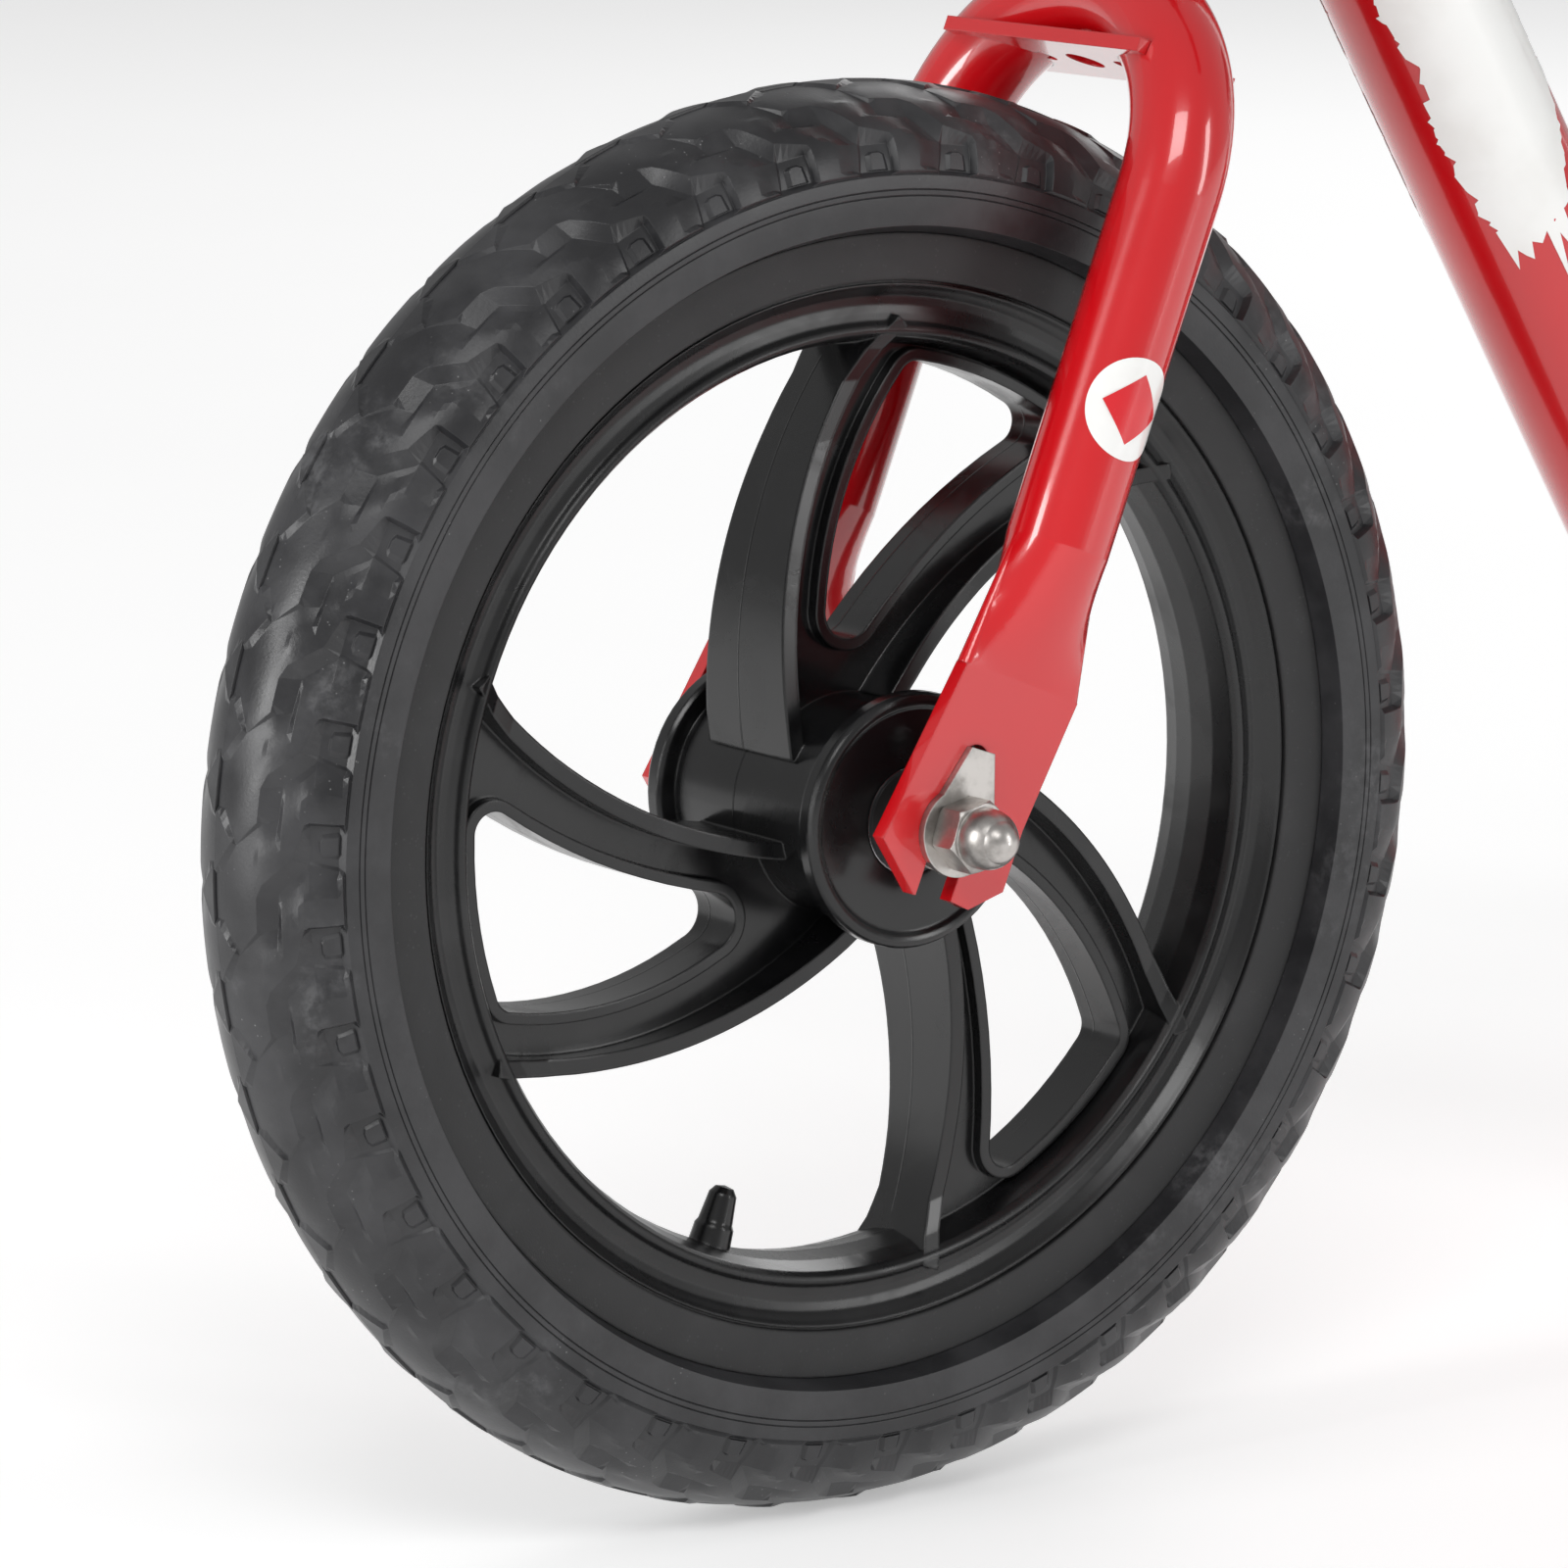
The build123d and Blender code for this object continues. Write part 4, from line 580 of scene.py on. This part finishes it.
def level(line, height):
    return [(turn, side, height) for turn, side in line]


drawing = Drawing()
drawing.line(foot)
drawing.line(shifted(foot))
for step in range(RING_STEPS):
    start = 4.8 - PITCH * step / RING_STEPS
    drawing.line([(start, 0, GROOVE), (start - PITCH / RING_STEPS, 0, GROOVE)], 9)
    start = -4.5 - PITCH * step / RING_STEPS
    drawing.line([(start, 80.5, SIDE), (start - PITCH / RING_STEPS, 80.5, SIDE)], 9)
drawing.line([(4.8, 0, GROOVE), (4.8, 0.5, TOP)])
drawing.line([(4.8 - PITCH, 0, GROOVE), (4.8 - PITCH, 0.5, TOP)])
drawing.line([(4.8 - PITCH, 0.5, TOP), (-0.4, 0.5, TOP)])
drawing.line(level(diamond_top + diamond_top[:1], DIAMOND))
drawing.line(diamond_back)
drawing.line(lobe_edge)
drawing.line(level(pocket_floor, POCKET))
drawing.line(level(pad_foot, POCKET), 2)
drawing.line(level(pad_top, POCKET + 0.55), 2)

back_line = shifted([(turn, side) for turn, side, height in foot])
front_line = [(turn, side) for turn, side, height in diamond_back + lobe_edge[1:7]]
height_line = [(height, side) for turn, side, height in foot]
side_angle = 2.5
while side_angle < 78:
    rear, front = along(back_line, side_angle), along(front_line, side_angle)
    start_height = along(height_line, side_angle)
    count = max(2, round((front - rear) / 0.75))
    for k in range(1, count):
        t = k / count
        height = start_height + (TOP - start_height) * smooth_step(t / 0.62)
        drawing.point(rear + (front - rear) * t, side_angle, height)
    side_angle += 3.2
tile = drawing.triangles()
print("one half pitch:", len(drawing.points), "points,", len(tile), "triangles")

# %% [markdown]
# ## Roll the tread round the tyre
# The flat drawing is wrapped on the tyre: the turn becomes an angle about the axle and the side
# angle an angle round the tyre's section. The far half is the mirror of the near one and sits
# half a pitch further on. A spun strip closes the side walls, with the two thin moulded rings
# near the tread and the seat on the rim, and doubles are merged where the strips meet.

# %% Build a tyre
TREAD_CENTRE = 124.4
TREAD_RADIUS = 20.6
TREAD_START = 166.11
side_wall = [
    (80.5, SIDE), (81.2, -0.9), (85.0, -0.9), (89.0, -0.9), (89.5, -1.25), (90.0, -0.9),
    (92.6, -0.9), (93.1, -1.25), (93.6, -0.9), (97, -0.8), (100.0, -0.7), (105, -0.4), (110.0, 0.0),
]
seat = [(115.9, 15.2), (115.7, 14.6), (115.7, 12.4), (108.6, 12.4)]


def on_tyre(hub, turn, side, height, mirror=1):
    """A point of the tyre from its two angles in degrees and its height in millimetres."""
    reach = TREAD_CENTRE + (TREAD_RADIUS + height) * cos(radians(side))
    across = (TREAD_RADIUS + height) * sin(radians(side)) * mirror
    angle = radians(turn)
    return hub + Vector((-reach * cos(angle), across, reach * sin(angle))) * MM


def tyre(name, hub, body, node):
    """A closed tyre: the wall is spun first, because spinning is quick on a small mesh."""
    bm = bmesh.new()
    wall_turn = TREAD_START + foot[-1][0]
    profile = [on_tyre(hub, wall_turn, side, height) for side, height in side_wall]
    along_wheel = Vector((-cos(radians(wall_turn)), 0, sin(radians(wall_turn))))
    profile += [hub + (along_wheel * reach + left * across) * MM for reach, across in seat]
    profile += [Vector((spot.x, -spot.y, spot.z)) for spot in reversed(profile)]
    wall = [bm.verts.new(spot) for spot in profile]
    strip = [bm.edges.new(pair) for pair in zip(wall, wall[1:])]
    bmesh.ops.spin(bm, geom=wall + strip, cent=hub, axis=left, angle=2 * pi,
                   steps=PITCHES * RING_STEPS, use_merge=True)
    pitch_parts = []
    for half, shift in ((1, 0), (-1, 0.5)):
        offset = TREAD_START + PITCH * shift
        ring = [bm.verts.new(on_tyre(hub, turn + offset, side, height, half))
                for turn, side, height in drawing.points]
        faces = [bm.faces.new([ring[corner] for corner in face]) for face in tile]
        edges = list(dict.fromkeys(edge for face in faces for edge in face.edges))
        pitch_parts += ring + edges + faces
    bmesh.ops.spin(bm, geom=pitch_parts, cent=hub, axis=left, angle=radians(PITCH * (PITCHES - 1)),
                   steps=PITCHES - 1, use_duplicate=True)
    bmesh.ops.remove_doubles(bm, verts=bm.verts, dist=0.00001)
    loose = [edge for edge in bm.edges if len(edge.link_faces) != 2]
    obj = piece(name, bm, finishes["tyre_foam"], body, 9)
    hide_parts(node)
    print(name, len(obj.data.polygons), "faces, open edges:", len(loose))


tyre("front_treaded_tyre", front_hub, "front_wheel", "front_tyre")
tyre("rear_treaded_tyre", rear_hub, "rear_wheel", "rear_tyre")

# %% [markdown]
# ## Grips
# A grip is turned on the bar: its profile is a list of distances from the bar and along it, spun
# round the bar's line. The hand part carries fine ribs, with a plain band in the middle, and the
# two ends are the flange that keeps the hand from slipping in and the thick safety end.


# %% Spin a profile
def spun(name, foot_point, direction, profile, finish, body, steps=64, sharp=30):
    """A closed turned piece: profile points are (distance from the axis, along it) in mm."""
    direction = Vector(direction).normalized()
    side = direction.orthogonal().normalized()
    bm = bmesh.new()
    first = [bm.verts.new(foot_point + (side * reach + direction * far) * MM) for reach, far in profile]
    edges = [bm.edges.new(pair) for pair in zip(first, first[1:] + first[:1])]
    bmesh.ops.spin(bm, geom=first + edges, cent=foot_point, axis=direction, angle=2 * pi,
                   steps=steps, use_merge=True)
    bmesh.ops.remove_doubles(bm, verts=bm.verts, dist=0.000005)
    return piece(name, bm, finish, body, sharp)


BAR_RADIUS = 11.1
GRIP_LENGTH = 104.0
GRIP_RADIUS = 15.5
bar_end = Vector((0.1238311, 0.2, 0.5667595))
bar_out = Vector((-0.2118, 0.9773, 0))


def grip_profile():
    points = [
        (BAR_RADIUS + 0.05, -GRIP_LENGTH), (21.6, -GRIP_LENGTH), (22.5, -GRIP_LENGTH + 0.4),
        (23.0, -GRIP_LENGTH + 1.4), (23.0, -GRIP_LENGTH + 2.8), (22.4, -GRIP_LENGTH + 3.8),
        (17.6, -GRIP_LENGTH + 5.2), (16.2, -GRIP_LENGTH + 6.2),
    ]
    far = -GRIP_LENGTH + 9
    while far < -15:
        plain = abs(far + 52) < 7
        high = GRIP_RADIUS + (0.35 if plain else 0.15)
        low = high if plain else GRIP_RADIUS - 0.75
        points += [(low, far), (low, far + 0.7), (high, far + 1.1), (high, far + 2.1), (low, far + 2.5)]
        far += 3.2
    points += [
        (GRIP_RADIUS, -11.5), (GRIP_RADIUS + 2.4, -7.5), (GRIP_RADIUS + 4.0, -4),
        (GRIP_RADIUS + 4.5, -1),
        (GRIP_RADIUS + 4.3, 3), (GRIP_RADIUS + 2.6, 5.6), (GRIP_RADIUS - 1.0, 6.8), (8, 7.0), (6.6, 6.2),
        (0, 6.0), (0, 0.1), (BAR_RADIUS + 0.05, 0.1),
    ]
    return points


for name, mirror in (("left", 1), ("right", -1)):
    place = Vector((bar_end.x, bar_end.y * mirror, bar_end.z))
    way = Vector((bar_out.x, bar_out.y * mirror, 0))
    grip = spun(name + "_ribbed_grip", place, way, grip_profile(), finishes["grip_rubber"],
                "handlebar")
    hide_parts(name + "_grip")
print("grips ready")

# %% [markdown]
# ## Padded saddle
# The saddle's cover is foam under leathercloth. Its plan is two circles joined by straight sides:
# wide behind, narrow at the nose. A slightly small block of that plan is cut into even cells,
# then the cloth simulation inflates it like a balloon, and the swelling is capped so the pad
# keeps its plan. A sewn seam with a thin piping runs round the side after that.

# %% Saddle pad
cover_low, cover_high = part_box("saddle_cover")
TAIL_RADIUS = (cover_high.y - cover_low.y) / 2
NOSE_RADIUS = 0.022
tail = Vector((cover_low.x + TAIL_RADIUS, 0))
nose = Vector((cover_high.x - NOSE_RADIUS, 0))


def saddle_outline(inset, count=72):
    """Plan of the saddle, drawn in by an inset, as points round the hull of two circles."""
    lean = atan2(TAIL_RADIUS - NOSE_RADIUS, (nose - tail).length)
    turn = pi / 2 - lean
    plan = []
    for k in range(count):
        angle = turn + (2 * pi - 2 * turn) * k / (count - 1)
        plan.append(tail + Vector((cos(angle), sin(angle))) * (TAIL_RADIUS - inset))
    for k in range(count // 2):
        angle = -turn + 2 * turn * k / (count // 2 - 1)
        plan.append(nose + Vector((cos(angle), sin(angle))) * (NOSE_RADIUS - inset))
    return plan


def pad_layers():
    height = cover_high.z - cover_low.z
    return [
        (0.0025, 0.0003), (0.0012, 0.004), (0.0016, height * 0.45), (0.005, height * 0.72),
        (0.0105, height * 0.88), (0.017, height * 0.93),
    ]


bm = bmesh.new()
rings = []
for inset, rise in pad_layers():
    dip = []
    for spot in saddle_outline(inset):
        share = (spot.x - cover_low.x) / (cover_high.x - cover_low.x)
        sag = 0.12 * (1 - (2 * share - 0.9) ** 2) if rise > 0.01 else 0
        dip.append(bm.verts.new((spot.x, spot.y, cover_low.z + rise * (1 - sag))))
    rings.append(dip)
for below, above in zip(rings, rings[1:]):
    for k in range(len(below)):
        after = (k + 1) % len(below)
        bm.faces.new((below[k], below[after], above[after], above[k]))
bm.faces.new(rings[0][::-1])
bm.faces.new(rings[-1])
pad = piece("padded_saddle", bm, finishes["saddle_skin"], "saddle", 60)
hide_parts("saddle_cover")


def apply_modifiers(obj):
    """The evaluated mesh becomes the object's own, and its modifiers go."""
    shown = obj.evaluated_get(bpy.context.evaluated_depsgraph_get())
    mesh = bpy.data.meshes.new_from_object(shown)
    obj.modifiers.clear()
    obj.data = mesh


remesh = pad.modifiers.new("even_cells", "REMESH")
remesh.mode = "VOXEL"
remesh.voxel_size = 0.004
apply_modifiers(pad)
before = [vertex.co.copy() for vertex in pad.data.vertices]
cloth = pad.modifiers.new("inflate", "CLOTH")
cloth.settings.use_pressure = True
cloth.settings.uniform_pressure_force = 4
cloth.settings.effector_weights.gravity = 0
for step in range(1, 21):
    bpy.context.scene.frame_set(step)
apply_modifiers(pad)
bpy.context.scene.frame_set(1)
CAP = 0.0045
for vertex, start in zip(pad.data.vertices, before):
    move = vertex.co - start
    if move.length > CAP:
        move = move.normalized() * CAP
    spot = start + move
    spot.z = max(spot.z, cover_low.z + 0.0002)
    vertex.co = spot
smooth = pad.modifiers.new("soften", "SMOOTH")
smooth.factor = 0.5
smooth.iterations = 4
apply_modifiers(pad)
finer = pad.modifiers.new("finer", "SUBSURF")
finer.levels = finer.render_levels = 1
apply_modifiers(pad)
pad.data.shade_smooth()
print("pad:", len(pad.data.polygons), "faces, top", round(max(v.co.z for v in pad.data.vertices), 4))

# %% Piping and stitches round the pad
tree = BVHTree.FromPolygons([v.co for v in pad.data.vertices], [p.vertices for p in pad.data.polygons])


def on_pad(inset_point, height):
    """The pad's side surface, met from outside at a height, and the way out of it."""
    centre = Vector((tail.x * 0.55 + nose.x * 0.45, 0, height))
    spine = Vector((min(max(inset_point.x, tail.x), nose.x), 0, height))
    outward = (Vector((inset_point.x, inset_point.y, height)) - spine).normalized()
    hit = tree.ray_cast(spine + outward * 0.12, -outward)[0]
    return hit or centre, outward


def tube_round(bm, path, radius, sides=8):
    """A closed tube along a closed path; radius is a number or one for each point."""
    rings = []
    turns = [2 * pi * s / sides for s in range(sides)]
    for k, spot in enumerate(path):
        ahead = (path[(k + 1) % len(path)] - path[k - 1]).normalized()
        across = ahead.cross(Vector((0.03, 0.02, 1))).normalized()
        over = across.cross(ahead)
        size = radius[k] if isinstance(radius, list) else radius
        rings.append([
            bm.verts.new(spot + (across * cos(turn) + over * sin(turn)) * size)
            for turn in turns
        ])
    for here, after in zip(rings, rings[1:] + rings[:1]):
        for s in range(sides):
            t = (s + 1) % sides
            bm.faces.new((here[s], here[t], after[t], after[s]))


SEAM_HEIGHT = cover_low.z + 0.0075
bm = bmesh.new()
tube_round(bm, [on_pad(spot, SEAM_HEIGHT)[0] for spot in saddle_outline(0, 120)], 0.0011)
piece("saddle_piping", bm, finishes["saddle_skin"], "saddle", 60)

stitch_path = [on_pad(spot, SEAM_HEIGHT + 0.0035) for spot in saddle_outline(0, 150)]
bm = bmesh.new()
for k in range(0, len(stitch_path) - 1, 2):
    (start, out_a), (end, out_b) = stitch_path[k], stitch_path[k + 1]
    way = end - start
    if way.length < 0.0008 or way.length > 0.009:
        continue
    count = max(1, round(way.length / 0.0045))
    for part in range(count):
        a = start + way * (part + 0.12) / count + out_a * 0.0001
        b = start + way * (part + 0.88) / count + out_b * 0.0001
        middle = (a + b) / 2 + out_a * 0.0002
        turned = Matrix.Translation(middle) @ (b - a).to_track_quat("X", "Z").to_matrix().to_4x4()
        stretch = Matrix.Diagonal(((b - a).length / 2, 0.00032, 0.00032, 1))
        bmesh.ops.create_icosphere(bm, subdivisions=1, radius=1, matrix=turned @ stretch)
rubber("thread", shade(52, 52, 54), shade(84, 84, 86), 0.6, 0.00005)
piece("saddle_stitches", bm, finishes["thread"], "saddle", 60)
print("seam and stitches ready")

# %% [markdown]
# ## Decals
# A decal is a thin vinyl film. Its flat drawing is wrapped on a tube: one number runs along the
# tube and the other round it. The film is closed, with a top, an underside and an edge, so that
# it stays a solid piece. The fork carries a white disc with a red diamond, and the main tube a
# ragged white brush stroke.


# %% Wrap a flat drawing on a tube
def wrapped(name, points, faces, place, top, under, finish, slot, body):
    """place(along, round, lift) gives a point; lift is in millimetres above the tube."""
    bm = bmesh.new()
    upper = [bm.verts.new(place(a, b, top)) for a, b in points]
    lower = [bm.verts.new(place(a, b, under)) for a, b in points]
    used = {}
    for face in faces:
        bm.faces.new([upper[k] for k in face])
        bm.faces.new([lower[k] for k in reversed(face)])
        for pair in zip(face, face[1:] + face[:1]):
            used.setdefault(frozenset(pair), []).append(pair)
    for pairs in used.values():
        if len(pairs) == 1:
            a, b = pairs[0]
            bm.faces.new((upper[b], upper[a], lower[a], lower[b]))
    loose = [v for v in bm.verts if not v.link_faces]
    bmesh.ops.delete(bm, geom=loose, context="VERTS")
    piece(name, bm, finish, body, 50)


def polar(radii, count=64):
    """A flat disc or ring as points and faces, from its inner to its outer radius."""
    points, faces = [], []
    for reach in radii:
        for k in range(count):
            points.append((reach * cos(2 * pi * k / count), reach * sin(2 * pi * k / count)))
    for ring in range(len(radii) - 1):
        for k in range(count):
            after = (k + 1) % count
            low, high = ring * count, (ring + 1) * count
            faces.append([low + k, low + after, high + after, high + k])
    if radii[0] < 1:
        faces.append([k for k in reversed(range(count))])
    return points, faces


def diamond(half, cells=12):
    """A flat square standing on its corner, in even cells so that it bends with the tube."""
    points, faces = [], []
    for i in range(cells + 1):
        for j in range(cells + 1):
            points.append(((i + j - cells) * half / cells, (i - j) * half / cells))
    for i in range(cells):
        for j in range(cells):
            here = i * (cells + 1) + j
            faces.append([here, here + 1, here + cells + 2, here + cells + 1])
    return points, faces


def vinyl(name, clean, worn):
    """Printed film: a little yellowed, with fine scuffs and soft ripples under the gloss."""
    finish = Finish(name)
    age = finish.noise(40, 4).ramp(0.4, 0.75)
    scuff = finish.noise(420, 6, 0.75).ramp(0.62, 0.72)
    finish.set(Base_Color=finish.blend(age * 0.5 + scuff * 0.4, clean, worn))
    finish.set(Roughness=0.22 + 0.2 * scuff, Coat_Weight=0.6, Coat_Roughness=0.08)
    finish.relief(finish.noise(130, 3) * 0.7 + scuff * 0.3, 0.00002)
    finishes[name] = finish.material


vinyl("white_film", shade(244, 244, 242), shade(226, 224, 220))
vinyl("red_film", shade(216, 30, 40), shade(196, 24, 34))

BLADE_SIDE = 39.0
BLADE_RADIUS = 10.5
DISC_ALONG = 89.7


def on_blade(mirror):
    def place(a, b, lift):
        angle = b / BLADE_RADIUS
        reach = BLADE_RADIUS + lift
        spot = steering_foot + steering_up * (DISC_ALONG + a) * MM
        spot += left * mirror * (BLADE_SIDE + reach * cos(angle)) * MM
        return spot + steering_ahead * reach * sin(angle) * MM
    return place


for name, mirror in (("left", 1), ("right", -1)):
    place = on_blade(mirror)
    wrapped(name + "_blade_disc", *polar([0.5, 4, 8, 10.3]), place, 0.20, 0.03,
            finishes["white_film"], "red_paint", "fork")
    wrapped(name + "_blade_diamond", *diamond(7.2), place, 0.28, 0.18,
            finishes["red_film"], "red_paint", "fork")

# %% Brush stroke on the main tube
MAIN_RADIUS = 18.0
main_top = Vector((0.18, 0, 0.3829))
main_up = Vector((0.5135, 0, 0.8581)).normalized()
main_ahead = Vector((main_up.z, 0, -main_up.x))
rim_left = [(46, 30), (70, 50), (90, 60), (100, 58), (104, 50), (118, 60), (135, 56), (150, 46)]
rim_right = [(46, -5), (60, -25), (80, -45), (100, -50), (112, -50), (118, -46), (124, -54),
             (130, -38), (140, -20), (150, -2)]
lower_hairs = [(156.5, 45), (152, 41), (154, 37), (155.5, 33), (151.5, 30), (153, 24), (151, 18),
               (165, 17), (153, 10), (161, 3), (149, 0)]
upper_hairs = [(36, -3), (45, 4), (40, 8), (44, 14), (33, 18), (45, 24)]


def edge_at(rim, far):
    return along([(side, where) for where, side in rim], far)


def ragged(rim, seed):
    """A rim with small torn steps, as a dry brush leaves."""
    dice = Random(seed)
    far, made = rim[0][0], []
    while far < rim[-1][0]:
        made.append((far, edge_at(rim, far) + dice.uniform(-4, 3)))
        made.append((far + dice.uniform(0.2, 0.7), edge_at(rim, far) + dice.uniform(-1, 4)))
        far += dice.uniform(1.6, 4.4)
    return made


stroke = ragged(rim_left, 5) + lower_hairs + ragged(rim_right, 8)[::-1] + upper_hairs
film = Drawing()
film.line([(far / 2.44, side, 0) for far, side in stroke + stroke[:1]], 3)
for far in range(50, 148, 5):
    wide, narrow = edge_at(rim_left, far), edge_at(rim_right, far)
    for k in range(1, 9):
        side = narrow + (wide - narrow) * k / 9
        if narrow + 6 < side < wide - 6:
            film.point(far / 2.44, side, 0)
film_faces = film.triangles()
film_points = [(turn * 2.44, side) for turn, side, height in film.points]


def on_main_tube(mirror):
    def place(a, b, lift):
        reach = MAIN_RADIUS + lift
        spot = main_top - main_up * a * MM
        spot += left * mirror * reach * cos(radians(b)) * MM
        return spot + main_ahead * reach * sin(radians(b)) * MM
    return place


for name, mirror in (("left", 1), ("right", -1)):
    wrapped(name + "_brush_stroke", film_points, film_faces, on_main_tube(mirror), 0.20, 0.03,
            finishes["white_film"], "red_paint", "frame")
print("decals ready,", len(film_faces), "triangles in a stroke")

# %% [markdown]
# ## Weld beads
# Where one tube is welded to another, a rippled bead follows the line where their surfaces meet.
# A ray along the wall of the first tube meets the other tube's cylinder, which is a quadratic
# equation, and doing that all the way round gives the line. The bead swells and shrinks a little
# every few millimetres, like the overlapping puddles of a hand weld.


# %% Beads between tubes
def weld(name, body, start, way, radius, other, other_axis, other_radius, bead=2.0, count=144):
    way, other_axis = way.normalized(), other_axis.normalized()
    side = way.cross(other_axis).normalized()
    over = side.cross(way)
    path, sizes = [], []
    for k in range(count):
        angle = 2 * pi * k / count
        spot = start + (side * cos(angle) + over * sin(angle)) * (radius + 0.2) * MM
        gap = spot - other
        gap_flat = gap - other_axis * gap.dot(other_axis)
        way_flat = way - other_axis * way.dot(other_axis)
        a = way_flat.dot(way_flat)
        b = 2 * gap_flat.dot(way_flat)
        c = gap_flat.dot(gap_flat) - (other_radius * MM) ** 2
        t = (-b - sqrt(max(0.0, b * b - 4 * a * c))) / (2 * a)
        path.append(spot + way * t)
        sizes.append(bead * MM * (0.84 + 0.16 * abs(sin(k * pi / 4))))
    bm = bmesh.new()
    tube_round(bm, path, sizes)
    piece(name, bm, finishes["red_paint"], body, 60)


HEAD_TUBE_RADIUS = 17.0
SEAT_TUBE_RADIUS = 14.3
SEAT_STAY_RADIUS = 7.0
CHAIN_STAY_RADIUS = 9.5
seat_foot = Vector((-0.062, 0, 0.118))
main_run = Vector((0, 0, 0.118))
along_x = Vector((1, 0, 0))
weld("head_weld", "frame", main_top - main_up * 0.08, main_up, MAIN_RADIUS,
     steering_foot, steering_up, HEAD_TUBE_RADIUS, 2.2)
weld("seat_weld", "frame", seat_foot + seat_up * 0.06, -seat_up, SEAT_TUBE_RADIUS,
     main_run, along_x, MAIN_RADIUS, 2.0)
for name, mirror in (("left", 1), ("right", -1)):
    low_end = Vector((-0.1325, 0.04 * mirror, 0.2162))
    high_end = Vector((-0.0985, 0.006 * mirror, 0.2302))
    weld(name + "_seat_stay_weld", "frame", low_end, high_end - low_end, SEAT_STAY_RADIUS,
         seat_foot, seat_up, SEAT_TUBE_RADIUS, 1.5, 96)
    rear_end = Vector((-0.128, 0.04 * mirror, 0.123))
    fore_end = Vector((-0.086, 0.01 * mirror, 0.118))
    weld(name + "_chain_stay_weld", "frame", rear_end, fore_end - rear_end, CHAIN_STAY_RADIUS,
         main_run, along_x, MAIN_RADIUS, 1.7, 96)
print("welds ready")

# %% [markdown]
# ## Floor
# The floor is only a stage.

# %% Floor
floor_bm = bmesh.new()
bmesh.ops.create_grid(floor_bm, x_segments=1, y_segments=1, size=30)
floor_mesh = bpy.data.meshes.new("floor")
floor_bm.to_mesh(floor_mesh)
floor_bm.free()
floor = bpy.data.objects.new("floor", floor_mesh)
bpy.context.scene.collection.objects.link(floor)
floor.location.z = -0.0002
pale = Finish("pale_floor")
pale.set(Base_Color=pale.blend(pale.noise(3, 2), (0.88, 0.88, 0.88, 1), (0.91, 0.91, 0.91, 1)))
pale.set(Roughness=0.7, Emission_Color=(1, 1, 1, 1), Emission_Strength=0.36)
floor_mesh.materials.append(pale.material)

# %% Finish
print("script finished")
